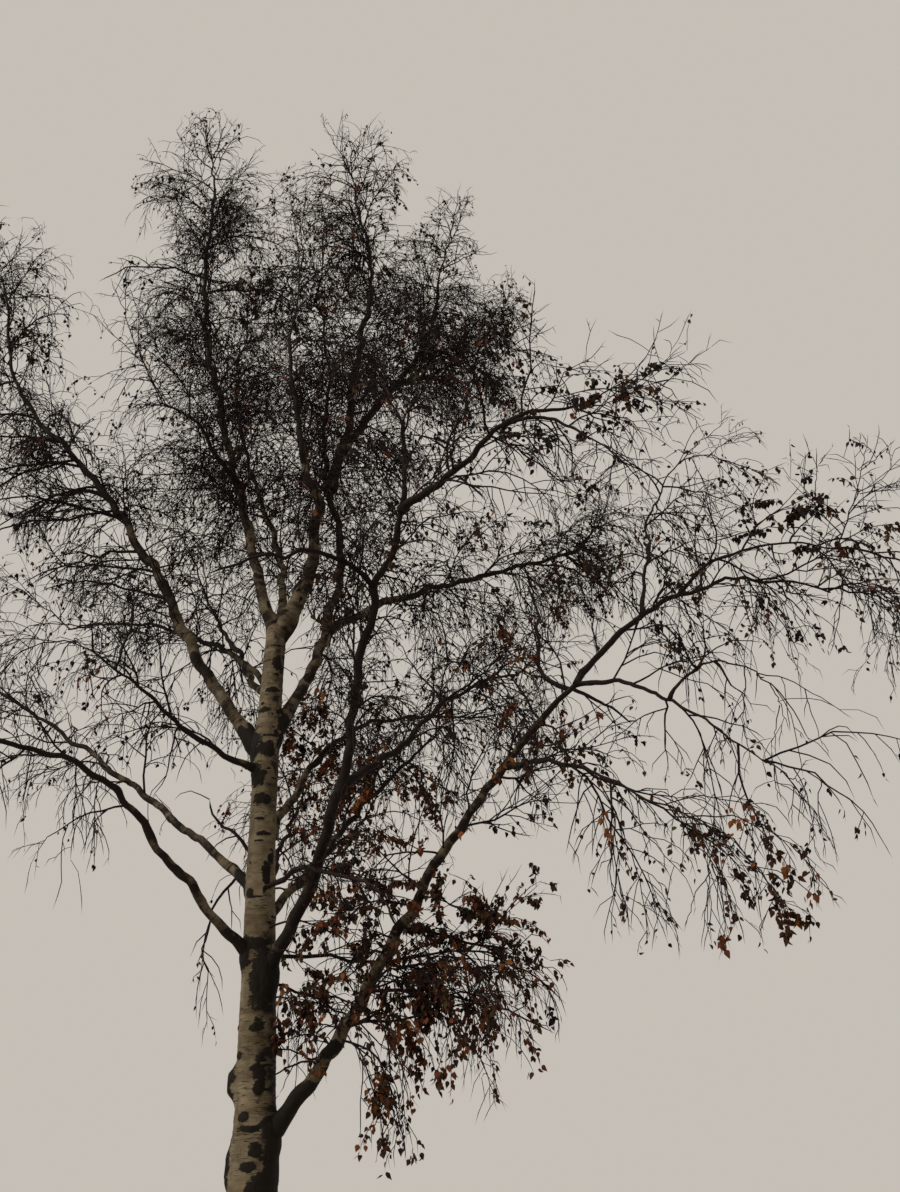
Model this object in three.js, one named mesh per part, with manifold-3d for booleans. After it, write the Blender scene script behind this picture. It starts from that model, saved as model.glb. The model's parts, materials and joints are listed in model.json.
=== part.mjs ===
// A tall silver birch in late autumn: one white trunk that forks high up, thin spreading
// boughs, and masses of fine twigs at their ends, bare but for the last leaves low in the
// crown. Millimetres, +Z up. The origin is on the ground, in the middle of the trunk's foot.
import * as THREE from "three";
import { mergeVertices } from "three/addons/utils/BufferGeometryUtils.js";
import Module from "manifold-3d";

const wasm = await Module();
wasm.setup();

// The trunk: its height to the fork, how it wanders sideways, and its radius by height
const forkHeight = 8000;
const trunkLean = -50;
const trunkBow = -14;
const trunkSway = 38;
const trunkRadii = [
  [0, 330], [250, 285], [700, 262], [1500, 240], [2200, 224], [2800, 198], [5000, 154], [8000, 114],
];
const trunkSides = 12;
const trunkRings = 24;
const rootLobes = 5;
const rootLobeDepth = 0.16;
const rootFlareHeight = 420;
const smallestDome = 0.05;
// Twigs stay clear of the trunk by its radius at this share of its height
const trunkClearance = 0.3;

// Limbs: the parent and where the limb leaves it, as a share of the parent's length, its own
// length, its radius at foot and tip, then its compass headings (0 is +X, 90 is +Y) and its
// rises above level in degrees, evenly spaced from foot to tip
const limbRow = (name, from, at, length, foot, tip, heading, rise) => (
  { name, from, at, length, foot, tip, heading, rise }
);
const limbs = [
  limbRow("stem_left", "trunk", 0.98, 9100, 65, 37, [155, 163, 80], [74, 75, 89]),
  limbRow("stem_left_low", "stem_left", 0.28, 1500, 39, 19, [-130, -130, -145], [40, 40, 0]),
  limbRow("stem_back", "trunk", 1, 6400, 54, 33, [90, 126, 131], [57, 59, 73]),
  limbRow("stem_centre", "trunk", 0.99, 4000, 95, 28, [15, -118, -100], [67, 58, 82]),
  limbRow("inner_bough", "trunk", 0.82, 6700, 73, 37, [5, 70, 155, 30], [62, 74, 79, 86]),
  limbRow("peak_bough", "inner_bough", 0.64, 4800, 66, 30, [-35, -65, -22, -250], [70, 70, 89, 75]),
  limbRow("shoulder_bough", "peak_bough", 0.12, 5250, 60, 34, [53, 43, 54], [62, 59, 86]),
  limbRow("wide_shoulder", "shoulder_bough", 0.4, 2000, 42, 24, [40, 25, 17], [36, 42, 38]),
  limbRow("front_bough", "trunk", 0.49, 6200, 81, 27, [-36, -54, -72, -33, -120], [49, 53, 66, 63, 88]),
  limbRow("front_right", "front_bough", 0.83, 2700, 44, 18, [-42, -55, -17], [7, 4, -58]),
  limbRow("front_right_top", "front_right", 0.6, 950, 24, 15, [-40, -20, -12], [9, -15, 21]),
  limbRow("mid_bough", "front_bough", 0.37, 3250, 40, 24, [36, 47, 34], [36, 47, 16]),
  limbRow("right_bough", "inner_bough", 0.26, 5250, 55, 36, [57, 33, 30], [43, 27, 29]),
  limbRow("low_right", "trunk", 0.3, 5450, 80, 50, [-22, -35, -9], [46, 53, 42]),
  limbRow("far_right", "low_right", 1, 3500, 45, 22, [-6, 13, 17], [56, 25, -14]),
  limbRow("far_right_top", "far_right", 0.47, 1950, 32, 17, [-52, -46, -38], [34, -21, -30]),
  limbRow("upright_right", "far_right", 0.3, 2850, 31, 18, [61, 61, 29], [67, 62, 61]),
  limbRow("drooping_right", "low_right", 1, 2350, 34, 13, [-37, -42, -37], [-8, -44, -48]),
  limbRow("outer_right", "drooping_right", 0.5, 850, 23, 15, [-35, -64, -56], [61, -5, -29]),
  limbRow("hanging_bough", "low_right", 0.8, 2000, 35, 17, [-51, -54, -50], [-9, -28, -42]),
  limbRow("leafy_bough", "low_right", 0.27, 500, 29, 20, [-60, -50, -45], [-12, 4, 8]),
  limbRow("back_right", "trunk", 0.57, 4100, 47, 27, [54, 52, 38], [46, 48, 44]),
  limbRow("rear_bough", "trunk", 0.66, 5850, 54, 30, [83, 67, 37], [50, 41, 10]),
  limbRow("rear_low", "trunk", 0.54, 4250, 42, 26, [100, 86, 90], [50, 41, 37]),
  limbRow("rear_left", "trunk", 0.88, 4950, 50, 30, [113, 117, 122], [38, 42, 49]),
  limbRow("low_left", "trunk", 0.52, 5000, 56, 20, [-143, -134, -138, -155], [35, 46, -2, -28]),
  limbRow("second_left", "trunk", 0.61, 5400, 53, 30, [153, 156, 161], [40, 38, 34]),
  limbRow("third_left", "trunk", 0.78, 2450, 41, 15, [-142, -126, -128], [5, 20, 19]),
  limbRow("long_left", "trunk", 0.8, 8600, 84, 33, [175, 171, 176, 171], [54, 63, 47, 85]),
  limbRow("crossing_left", "trunk", 0.9, 5300, 40, 22, [132, 140, 151], [47, 30, 8]),
];
const collarFlare = 0.35;
const collarReach = 1.2;
const thickLimb = 45;
const thickLimbSides = 6;
const thinLimbSides = 5;
const limbRingSpacing = 850;
const fewestLimbRings = 5;
const limbRingCrowding = 1.3;

// Masses of twigs: the limb that each grows from, its stem's length, headings and rises, the
// half sizes of the space it keeps to, how far that space hangs below the stem's middle, how
// much its twigs droop (they rise below nought) and how many of its leaves are left
const massRow = (on, length, heading, rise, space, drop, droop, leaves) => (
  { on, length, heading, rise, space, drop, droop, leaves }
);
const masses = [
  massRow("stem_left", 1900, [145, 157, 189], [80, 79, 77], [700, 700, 1050], 0, -0.5, 0),
  massRow("stem_left_low", 2200, [-146, -179, -181], [56, 72, 65], [800, 800, 1450], 0, -0.1, 0),
  massRow("stem_back", 3500, [147, 55, 42], [82, 84, 87], [1000, 1000, 1900], 0, -0.1, 0),
  massRow("stem_centre", 2750, [11, 115, 169], [82, 88, 68], [900, 900, 1700], 0, -0.2, 0),
  massRow("inner_bough", 4700, [171, 79, 223], [76, 89, 79], [850, 850, 2400], 0, -0.2, 0),
  massRow("peak_bough", 2100, [-162, -181, -180], [76, 87, 86], [900, 900, 1150], 0, -0.5, 0),
  massRow("shoulder_bough", 2300, [43, 7, -6], [81, 71, 76], [950, 1000, 1250], 0, -0.3, 0),
  massRow("wide_shoulder", 1700, [30, 15, 13], [44, 44, 32], [1050, 1100, 1250], 150, 0.1, 0),
  massRow("front_bough", 2100, [186, 134, -50], [62, 97, 69], [950, 1000, 1500], 0, 0, 0),
  massRow("front_right", 750, [-43, -36, -46], [-44, -57, -67], [520, 520, 560], 60, 0.6, 0),
  massRow("front_right_top", 1000, [-26, -25, -37], [31, -25, -80], [850, 700, 650], 0, 0, 0),
  massRow("mid_bough", 1650, [32, 27, 155], [39, 67, 82], [900, 900, 1050], 0, 0.1, 0),
  massRow("right_bough", 1600, [12, 23, 30], [45, 63, 70], [1050, 1100, 1250], 0, 0.2, 0),
  massRow("far_right", 1150, [9, 1, 60], [42, -35, -65], [780, 900, 900], 150, 0.5, 0),
  massRow("far_right_top", 900, [-14, -26, -12], [62, 66, 0], [780, 850, 850], 0, 0, 0),
  massRow("upright_right", 1700, [21, 13, 16], [65, -7, -32], [1050, 950, 800], 0, 0.2, 0),
  massRow("drooping_right", 650, [-26, -42, 18], [-27, -70, -80], [420, 460, 620], 60, 0.8, 0),
  massRow("outer_right", 1150, [-43, -36, 5], [-20, -66, -73], [750, 800, 900], 0, 0.7, 0),
  massRow("hanging_bough", 1750, [-35, -30, -31], [-21, -49, -76], [1000, 850, 950], 60, 0.9, 14),
  massRow("leafy_bough", 1700, [-50, -25, -10], [22, 8, -15], [1250, 1150, 1200], 100, 0.8, 36),
  massRow("back_right", 2300, [65, 60, 150], [73, 76, 80], [950, 1000, 1250], 0, 0.2, 0),
  massRow("rear_bough", 1700, [28, 24, 10], [5, 19, 21], [1200, 1200, 1150], 100, 0.6, 0),
  massRow("rear_low", 1600, [84, 94, 96], [48, 30, 5], [1200, 1150, 1200], 250, 0.7, 0),
  massRow("rear_left", 2900, [138, 152, 170], [65, 64, 66], [1100, 1150, 1600], 0, 0.2, 0),
  massRow("low_left", 1300, [-155, -150, -140], [-20, -35, -60], [1150, 1050, 1050], 100, 0.9, 0),
  massRow("second_left", 2700, [161, 170, 171], [65, 49, 10], [1250, 1150, 1300], 150, 0.5, 0),
  massRow("third_left", 1300, [-126, -129, -140], [9, -39, -72], [950, 900, 950], 0, 0.7, 0),
  massRow("long_left", 1650, [169, 180, 180], [72, 74, 55], [1050, 1050, 1350], 0, 0, 0),
  massRow("crossing_left", 2000, [159, 163, 163], [42, 41, 33], [1150, 1150, 1300], 0, 0.4, 0),
];
// Branches go up a mass's stem by the golden turn, and twigs go up the branches. Leans and
// turns are in degrees, and spans are the lowest and highest values
const goldenTurn = 137.5;
const seedTurn = 50;
const branchesPerStem = 6;
const twigsPerStem = 4;
const branchPlaces = [0.1, 0.9];
const twigPlaces = [0.35, 0.75];
const branchLean = [38, 68];
const twigLean = [32, 58];
const branchLengths = [0.75, 1];
const twigLengths = [0.5, 0.75];
const branchReach = 0.8;
const longestBranch = 1500;
const shortestBranch = 260;
const branchJoints = 3;
const twigJoints = 2;
const wander = 0.26;
const twigTaper = 0.5;
const thinnest = 5;
const stemTip = 8;
const stemFit = 0.9;
const stemSides = 4;
const stemSteps = 4;
const twigSides = 3;
// What is tried for a twig that doesn't fit: its length's share and how far it is turned
const attempts = [[1, 0], [0.8, 0], [1, 100], [0.62, 0], [0.8, 200], [0.62, 260]];
// A twig is tested at this spacing, and stays this share of its space clear of other spaces
// and this far clear of limbs, but for the first stretch beside its own parent
const testSpacing = 60;
const spaceMargin = 0.025;
const touchMargin = 14;
const rootStretch = 4;
// Leaves
const leafPlaces = [0.3, 0.9];
const leafLength = 170;
const leafWidth = 110;
const leafThickness = 5;
const leafSink = 4;
const leafHang = 0.5;
const leafSeed = 500;

// Pieces that touch keep this gap, and a stem starts this far inside its bough, which then
// cuts it back
const gap = 0.3;
const stemSink = 30;
const walkSteps = 48;
const weld = 1e-3;
const onAxis = 1e-6;
const nearlyUpright = 0.9;
const up = new THREE.Vector3(0, 0, 1);
const degree = Math.PI / 180;

// A seeded source of numbers from 0 to 1
function seeded(seed) {
  let state = seed >>> 0;
  return () => {
    state = (Math.imul(state, 1664525) + 1013904223) >>> 0;
    return state / 4294967296;
  };
}

// The value of evenly spaced stations at a share of the way
function station(values, share) {
  const place = Math.min(Math.max(share, 0), 1) * (values.length - 1);
  const low = Math.min(Math.floor(place), values.length - 2);
  return values[low] + (values[low + 1] - values[low]) * (place - low);
}

// The points of a path that turns evenly through its headings and rises
function walk(start, length, headings, rises, steps) {
  const points = [start.clone()];
  for (let step = 0; step < steps; step += 1) {
    const share = (step + 0.5) / steps;
    const heading = station(headings, share) * degree;
    const rise = station(rises, share) * degree;
    const stride = new THREE.Vector3(
      Math.cos(rise) * Math.cos(heading),
      Math.cos(rise) * Math.sin(heading),
      Math.sin(rise),
    );
    points.push(points[step].clone().addScaledVector(stride, length / steps));
  }
  return points;
}

// The place and the direction of a path at a share of its way
function placeAt(points, share) {
  const place = Math.min(Math.max(share, 0), 1) * (points.length - 1);
  const low = Math.min(Math.floor(place), points.length - 2);
  return points[low].clone().lerp(points[low + 1], place - low);
}
function directionAt(points, share) {
  const place = Math.min(Math.max(share, 0), 1) * (points.length - 1);
  const low = Math.min(Math.floor(place), points.length - 2);
  return points[low + 1].clone().sub(points[low]).normalize();
}

// A unit vector square to a direction, turned about it: 0 points up, or along +X where the
// direction itself is nearly upright
function squareTo(direction, turn) {
  const reference = Math.abs(direction.z) > nearlyUpright ? new THREE.Vector3(1, 0, 0) : up.clone();
  const side = reference.addScaledVector(direction, -reference.dot(direction)).normalize();
  return side.applyAxisAngle(direction, turn * degree);
}

// A closed three.js geometry as a solid, and back again
function toSolid(geometry) {
  geometry.deleteAttribute("normal");
  geometry.deleteAttribute("uv");
  const merged = mergeVertices(geometry, weld);
  return new wasm.Manifold(new wasm.Mesh({
    numProp: 3,
    vertProperties: new Float32Array(merged.attributes.position.array),
    triVerts: new Uint32Array(merged.index.array),
  }));
}
function toGeometry(solid) {
  const mesh = solid.getMesh();
  const geometry = new THREE.BufferGeometry();
  geometry.setAttribute("position", new THREE.BufferAttribute(mesh.vertProperties, 3));
  geometry.setIndex(new THREE.BufferAttribute(mesh.triVerts, 1));
  return geometry;
}

// The largest single body of a solid, so that no loose scrap is kept
function largestBody(solid) {
  const bodies = solid.decompose();
  return bodies.reduce((best, body) => (body.volume() > best.volume() ? body : best));
}

// A round bar bent along a path. The radius is a function of the share of the way, and
// rings crowd towards the foot, where a limb flares
function bentBar(points, radiusAt, sides, rings, crowding) {
  const pointed = radiusAt(1) === 0;
  const geometry = pointed
    ? new THREE.ConeGeometry(1, 1, sides, rings)
    : new THREE.CylinderGeometry(1, 1, 1, sides, rings);
  const corners = geometry.attributes.position;
  const frames = [];
  let side = squareTo(directionAt(points, 0), 0);
  for (let ring = 0; ring <= rings; ring += 1) {
    const share = (ring / rings) ** crowding;
    const along = directionAt(points, share);
    side = side.clone().addScaledVector(along, -side.dot(along)).normalize();
    frames.push({ share, along, side, across: side.clone().cross(along) });
  }
  for (let i = 0; i < corners.count; i += 1) {
    const ring = Math.round((corners.getY(i) + 0.5) * rings);
    const frame = frames[ring];
    const turn = Math.atan2(corners.getZ(i), corners.getX(i));
    const middle = Math.hypot(corners.getX(i), corners.getZ(i)) < onAxis;
    const radius = middle ? 0 : radiusAt(frame.share, turn);
    const corner = placeAt(points, frame.share)
      .addScaledVector(frame.side, radius * Math.cos(turn))
      .addScaledVector(frame.across, radius * Math.sin(turn));
    corners.setXYZ(i, corner.x, corner.y, corner.z);
  }
  return toSolid(geometry);
}

// The trunk, from its flat cut on the ground to its rounded top in the fork
function trunkRadius(height) {
  const above = trunkRadii.findIndex(([level]) => level >= height);
  const [highLevel, highRadius] = trunkRadii[Math.max(above, 1)];
  const [lowLevel, lowRadius] = trunkRadii[Math.max(above, 1) - 1];
  return lowRadius + (highRadius - lowRadius) * (height - lowLevel) / (highLevel - lowLevel);
}
function trunkPath() {
  const points = [];
  for (let step = 0; step <= walkSteps; step += 1) {
    const share = step / walkSteps;
    const sideways = trunkLean * share + trunkBow * Math.sin(Math.PI * share)
      + trunkSway * Math.sin(2 * Math.PI * share);
    points.push(new THREE.Vector3(sideways, 0, forkHeight * share));
  }
  return points;
}
function trunkSolid(spare) {
  const geometry = new THREE.CylinderGeometry(1, 1, 1, trunkSides, trunkRings);
  const corners = geometry.attributes.position;
  const top = forkHeight + trunkRadius(forkHeight) + spare;
  for (let i = 0; i < corners.count; i += 1) {
    // Rings lie level, closer together at the foot and in the fork
    const ring = corners.getY(i) + 0.5;
    const height = top * (ring < 0.5 ? 2 * ring ** 2 : 1 - 2 * (1 - ring) ** 2);
    const turn = Math.atan2(corners.getZ(i), corners.getX(i));
    const lobes = rootLobeDepth * Math.exp(-height / rootFlareHeight) * Math.cos(rootLobes * turn);
    const domed = Math.max(height - forkHeight, 0) / (top - forkHeight);
    const dome = Math.sqrt(Math.max(1 - domed ** 2, smallestDome));
    const middle = Math.hypot(corners.getX(i), corners.getZ(i)) < onAxis;
    const radius = middle ? 0 : trunkRadius(Math.min(height, forkHeight)) * (1 + lobes) * dome + spare;
    const axis = placeAt(trunk.path, height / forkHeight);
    corners.setXYZ(i, axis.x + radius * Math.cos(turn), -radius * Math.sin(turn), height);
  }
  return toSolid(geometry);
}

// A limb's radius: an even taper, with a collar where it leaves the side of its parent
function limbRadius(limb, parentRadius, spare) {
  return (share) => {
    const away = share * limb.length / (collarReach * parentRadius);
    const collar = limb.at < 1 ? 1 + collarFlare * Math.exp(-away) : 1;
    return (limb.foot + (limb.tip - limb.foot) * share) * collar + spare;
  };
}
function limbSolid(limb, spare) {
  const rings = Math.max(fewestLimbRings, Math.round(limb.length / limbRingSpacing));
  const points = [...limb.path];
  points[walkSteps] = points[walkSteps].clone().addScaledVector(directionAt(points, 1), spare);
  const sides = limb.foot > thickLimb ? thickLimbSides : thinLimbSides;
  return bentBar(points, limbRadius(limb, limb.parentRadius, spare), sides, rings, limbRingCrowding);
}

// How far a point is from a path
function distanceTo(points, point) {
  const line = new THREE.Line3();
  const nearest = new THREE.Vector3();
  let best = Infinity;
  for (let i = 0; i + 1 < points.length; i += 1) {
    line.set(points[i], points[i + 1]).closestPointToPoint(point, true, nearest);
    best = Math.min(best, nearest.distanceTo(point));
  }
  return best;
}

// How deep a point lies in a mass's space: nought in its middle, 1 at its edge
function depthIn(mass, point) {
  const [wide, deep, tall] = mass.space;
  return Math.hypot(
    (point.x - mass.centre.x) / wide,
    (point.y - mass.centre.y) / deep,
    (point.z - mass.centre.z) / tall,
  );
}

// A point is in a mass's own space where it is inside it and lies deeper in it than in any
// other, so the spaces never overlap
function inOwnSpace(mass, point) {
  const own = depthIn(mass, point);
  return own < 1 && masses.every((other) => other === mass || depthIn(other, point) > own + spaceMargin);
}

// Whether a twig keeps to its space and clear of every limb, stem and earlier twig
function fits(mass, twig, others, parent) {
  const count = Math.ceil(twig.length / testSpacing);
  for (let i = 1; i <= count; i += 1) {
    const point = placeAt(twig.path, i / count);
    if (!inOwnSpace(mass, point)) {
      return false;
    }
    for (const other of others) {
      const clear = other.foot + twig.foot + touchMargin;
      const atRoot = other === parent && point.distanceTo(twig.path[0]) < rootStretch * clear;
      const near = other.middle.distanceTo(point) < other.length / 2 + clear;
      if (!atRoot && near && distanceTo(other.path, point) < clear) {
        return false;
      }
    }
  }
  return true;
}

// One twig: it leaves its parent at a share of the way, turned about it and leaning off it,
// then wanders a little and droops or rises as its mass does
function shoot(parent, share, turn, lean, length, droop, joints, random) {
  const along = directionAt(parent.path, share);
  const direction = along.clone().multiplyScalar(Math.cos(lean * degree))
    .addScaledVector(squareTo(along, turn), Math.sin(lean * degree));
  const path = [placeAt(parent.path, share)];
  for (let joint = 0; joint < joints; joint += 1) {
    direction.x += (random() - 0.5) * wander;
    direction.y += (random() - 0.5) * wander;
    direction.z += (random() - 0.5) * wander - droop / joints;
    direction.normalize();
    path.push(path[joint].clone().addScaledVector(direction, length / joints));
  }
  const parentRadius = parent.foot + (parent.tip - parent.foot) * share;
  const foot = Math.max(parentRadius * twigTaper, thinnest);
  return { path, length, foot, tip: 0, joints, middle: placeAt(path, 0.5) };
}

// Tries a twig as it is asked for, then shorter or turned round, and gives up after that
function tryShoot(mass, ask, others, random) {
  for (const [shorter, turned] of attempts) {
    const length = ask.longest * shorter;
    const turn = ask.turn + turned;
    const twig = shoot(ask.parent, ask.place, turn, ask.lean, length, mass.droop, ask.joints, random);
    if (length >= shortestBranch && fits(mass, twig, others, ask.parent)) {
      return twig;
    }
  }
  return null;
}

// The twigs of a mass: branches up its stem, then twigs up the branches
function growTwigs(mass, others) {
  const random = seeded(mass.seed);
  const within = ([low, high], share) => low + (high - low) * share;
  const kept = [];
  const keep = (ask) => {
    const twig = tryShoot(mass, ask, [...others, ...kept], random);
    if (twig) {
      kept.push(twig);
    }
  };
  const reach = Math.min(longestBranch, Math.hypot(...mass.space) * branchReach);
  for (let i = 0; i < branchesPerStem; i += 1) {
    keep({
      parent: mass,
      place: within(branchPlaces, (i + 0.5) / branchesPerStem),
      turn: mass.seed * seedTurn + goldenTurn * i,
      longest: reach * within(branchLengths, random()),
      lean: within(branchLean, random()),
      joints: branchJoints,
    });
  }
  const branches = [...kept];
  for (let i = 0; i < twigsPerStem && branches.length > 0; i += 1) {
    const branch = branches[i % branches.length];
    keep({
      parent: branch,
      place: within(twigPlaces, random()),
      turn: 360 * random(),
      longest: branch.length * within(twigLengths, random()),
      lean: within(twigLean, random()),
      joints: twigJoints,
    });
  }
  return kept;
}

// A leaf: a thin long octahedron sunk into its twig, which stands off it and hangs
function leafSolid(twig, share, random) {
  const along = directionAt(twig.path, share);
  const fall = squareTo(along, 360 * random()).addScaledVector(up, -leafHang).normalize();
  const face = fall.clone().cross(along).normalize();
  const root = placeAt(twig.path, share).addScaledVector(fall, leafLength / 2 - leafSink);
  const geometry = new THREE.OctahedronGeometry(1, 0);
  geometry.scale(leafWidth / 2, leafThickness / 2, leafLength / 2);
  geometry.applyMatrix4(new THREE.Matrix4().makeBasis(face.clone().cross(fall), face, fall));
  geometry.translate(root.x, root.y, root.z);
  return toSolid(geometry);
}

// A mass's stem with its twigs and leaves fused on, cut back from its bough
function massSolid(mass, twigs) {
  const random = seeded(mass.seed + leafSeed);
  const stemRadius = (share) => mass.foot + (mass.tip - mass.foot) * share;
  let solid = bentBar(mass.path, stemRadius, stemSides, stemSteps, 1);
  for (const twig of twigs) {
    solid = solid.add(bentBar(twig.path, (share) => twig.foot * (1 - share), twigSides, twig.joints, 1));
  }
  const [nearest, furthest] = leafPlaces;
  for (let i = 0; i < mass.leaves; i += 1) {
    const share = nearest + (furthest - nearest) * random();
    solid = solid.add(leafSolid(twigs[i % twigs.length], share, random));
  }
  return largestBody(solid.subtract(mass.bough.inflated));
}

// Materials
const finish = {
  trunk: new THREE.MeshStandardMaterial({ color: 0xb3a68f, roughness: 0.85, metalness: 0 }),
  bough: new THREE.MeshStandardMaterial({ color: 0x4a3c33, roughness: 0.9, metalness: 0 }),
  twigs: new THREE.MeshStandardMaterial({ color: 0x33262a, roughness: 0.9, metalness: 0 }),
  leafyTwigs: new THREE.MeshStandardMaterial({ color: 0x6a3c1c, roughness: 0.8, metalness: 0 }),
};
const tree = new THREE.Group();
function addPiece(name, solid, material) {
  const mesh = new THREE.Mesh(toGeometry(solid), material.clone());
  mesh.name = name;
  tree.add(mesh);
}

// The trunk
const trunk = { name: "trunk", path: trunkPath(), length: forkHeight };
trunk.foot = trunkRadius(forkHeight * trunkClearance);
trunk.tip = trunkRadius(forkHeight);
trunk.middle = placeAt(trunk.path, 0.5);
trunk.inflated = trunkSolid(gap);
addPiece("trunk", trunkSolid(0), finish.trunk);

// The limbs, each cut clear of the trunk and of the limbs before it
const grown = [trunk];
for (const limb of limbs) {
  const parent = grown.find((other) => other.name === limb.from);
  limb.path = walk(placeAt(parent.path, limb.at), limb.length, limb.heading, limb.rise, walkSteps);
  limb.middle = placeAt(limb.path, 0.5);
  limb.parentRadius = parent === trunk
    ? trunkRadius(limb.at * forkHeight)
    : parent.foot + (parent.tip - parent.foot) * limb.at;
  const cut = grown.reduce((solid, other) => solid.subtract(other.inflated), limbSolid(limb, 0));
  limb.inflated = limbSolid(limb, gap);
  addPiece(limb.name, largestBody(cut), finish.bough);
  grown.push(limb);
}

// The masses: their stems and spaces first, then their twigs
masses.forEach((mass, i) => {
  mass.bough = grown.find((other) => other.name === mass.on);
  mass.seed = i + 1;
  const start = placeAt(mass.bough.path, 1)
    .addScaledVector(directionAt(mass.bough.path, 1), -stemSink);
  mass.path = walk(start, mass.length, mass.heading, mass.rise, stemSteps);
  mass.middle = placeAt(mass.path, 0.5);
  mass.centre = mass.middle.clone().addScaledVector(up, -mass.drop);
  mass.foot = mass.bough.tip * stemFit;
  mass.tip = stemTip;
});
for (const mass of masses) {
  const twigs = growTwigs(mass, [...grown, ...masses]);
  addPiece(`twigs_${mass.on}`, massSolid(mass, twigs), mass.leaves > 0 ? finish.leafyTwigs : finish.twigs);
}

export default tree;
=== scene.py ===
import json
import math

import bpy
import numpy as np
from mathutils import Matrix, Vector
from mathutils.kdtree import KDTree

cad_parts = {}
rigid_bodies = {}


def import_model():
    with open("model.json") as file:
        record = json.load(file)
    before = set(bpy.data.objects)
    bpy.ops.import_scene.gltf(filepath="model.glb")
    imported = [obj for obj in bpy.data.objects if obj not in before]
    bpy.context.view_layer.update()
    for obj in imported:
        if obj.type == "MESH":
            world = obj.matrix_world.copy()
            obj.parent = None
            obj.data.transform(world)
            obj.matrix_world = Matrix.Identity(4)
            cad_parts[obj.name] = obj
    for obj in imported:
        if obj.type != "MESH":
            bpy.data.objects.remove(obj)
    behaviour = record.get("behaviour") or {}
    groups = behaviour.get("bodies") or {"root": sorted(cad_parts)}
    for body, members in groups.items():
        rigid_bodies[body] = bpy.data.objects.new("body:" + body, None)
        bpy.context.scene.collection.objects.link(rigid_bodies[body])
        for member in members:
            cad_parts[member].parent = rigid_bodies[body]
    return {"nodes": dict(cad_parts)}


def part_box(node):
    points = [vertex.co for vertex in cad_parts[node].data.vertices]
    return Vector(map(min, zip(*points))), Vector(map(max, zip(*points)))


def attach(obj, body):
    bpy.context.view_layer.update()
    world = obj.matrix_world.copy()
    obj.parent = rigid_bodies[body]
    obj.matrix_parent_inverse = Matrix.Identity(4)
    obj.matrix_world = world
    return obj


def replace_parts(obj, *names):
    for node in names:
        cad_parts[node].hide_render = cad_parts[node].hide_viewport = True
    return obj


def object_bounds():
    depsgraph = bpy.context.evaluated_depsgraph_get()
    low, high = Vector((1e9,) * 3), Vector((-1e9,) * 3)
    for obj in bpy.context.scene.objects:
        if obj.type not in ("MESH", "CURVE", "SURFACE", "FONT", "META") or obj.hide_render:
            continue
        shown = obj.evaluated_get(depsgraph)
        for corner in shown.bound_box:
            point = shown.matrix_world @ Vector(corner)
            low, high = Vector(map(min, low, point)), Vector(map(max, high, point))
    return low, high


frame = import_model()        # one body, root, and a node for the trunk, each limb and each mass of twigs
cadLow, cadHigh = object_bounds()
print("frame loaded:", len(frame["nodes"]), "nodes")

# A tall silver birch in late autumn, in metres, rooted at the origin. The limbs and the main
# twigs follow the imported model's own rule, and everything finer grows on from them.

# The photograph's camera: it stands in front of the tree and looks up into the crown
view = {
    "place": (2.0217, -12.0, 1.5),
    "pitch": 30.0,        # degrees above level
    "roll": 1.8,          # degrees clockwise
    "focalPixels": 1150.0,
    "tallPixels": 1192.0,
    "sensor": 36.0,
    "clipEnd": 500.0,
}


def makeCamera():
    data = bpy.data.cameras.new("camera")
    data.sensor_width = view["sensor"]
    data.lens = view["focalPixels"] / view["tallPixels"] * view["sensor"]
    data.clip_end = view["clipEnd"]
    camera = bpy.data.objects.new("camera", data)
    bpy.context.scene.collection.objects.link(camera)
    pitch, roll = math.radians(view["pitch"]), math.radians(view["roll"])
    ahead = Vector((0, math.cos(pitch), math.sin(pitch)))
    level = Vector((1, 0, 0))
    above = Vector((0, -math.sin(pitch), math.cos(pitch)))
    right = math.cos(roll) * level - math.sin(roll) * above
    over = math.sin(roll) * level + math.cos(roll) * above
    turned = Matrix((right, over, -ahead)).transposed().to_4x4()
    camera.matrix_world = Matrix.Translation(view["place"]) @ turned
    bpy.context.scene.camera = camera


makeCamera()

# The rule that the tree grows by
rule = {
    "forkHeight": 8.0,
    "trunkLean": -0.05,
    "trunkBow": -0.014,
    "trunkSway": 0.038,
    "trunkRadii": ((0, 0.33), (0.25, 0.285), (0.7, 0.262), (1.5, 0.24), (2.2, 0.224), (2.8, 0.198),
                   (5, 0.154), (8, 0.114)),
    "trunkClearance": 0.3,
    "walkSteps": 48,
    "stemSteps": 4,
    "nearlyUpright": 0.9,
    "stemSink": 0.03,
    "stemTip": 0.008,
    "stemFit": 0.9,
    "goldenTurn": 137.5,
    "seedTurn": 50,
    "branchesPerStem": 6,
    "twigsPerStem": 4,
    "branchPlaces": (0.1, 0.9),
    "twigPlaces": (0.35, 0.75),
    "branchLean": (38, 68),
    "twigLean": (32, 58),
    "branchLengths": (0.75, 1),
    "twigLengths": (0.5, 0.75),
    "branchReach": 0.8,
    "longestBranch": 1.5,
    "shortestBranch": 0.26,
    "branchJoints": 3,
    "twigJoints": 2,
    "wander": 0.26,
    "twigTaper": 0.5,
    "thinnest": 0.005,
    "attempts": ((1, 0), (0.8, 0), (1, 100), (0.62, 0), (0.8, 200), (0.62, 260)),
    "testSpacing": 0.06,
    "spaceMargin": 0.025,
    "touchMargin": 0.014,
    "rootStretch": 4,
}

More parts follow.
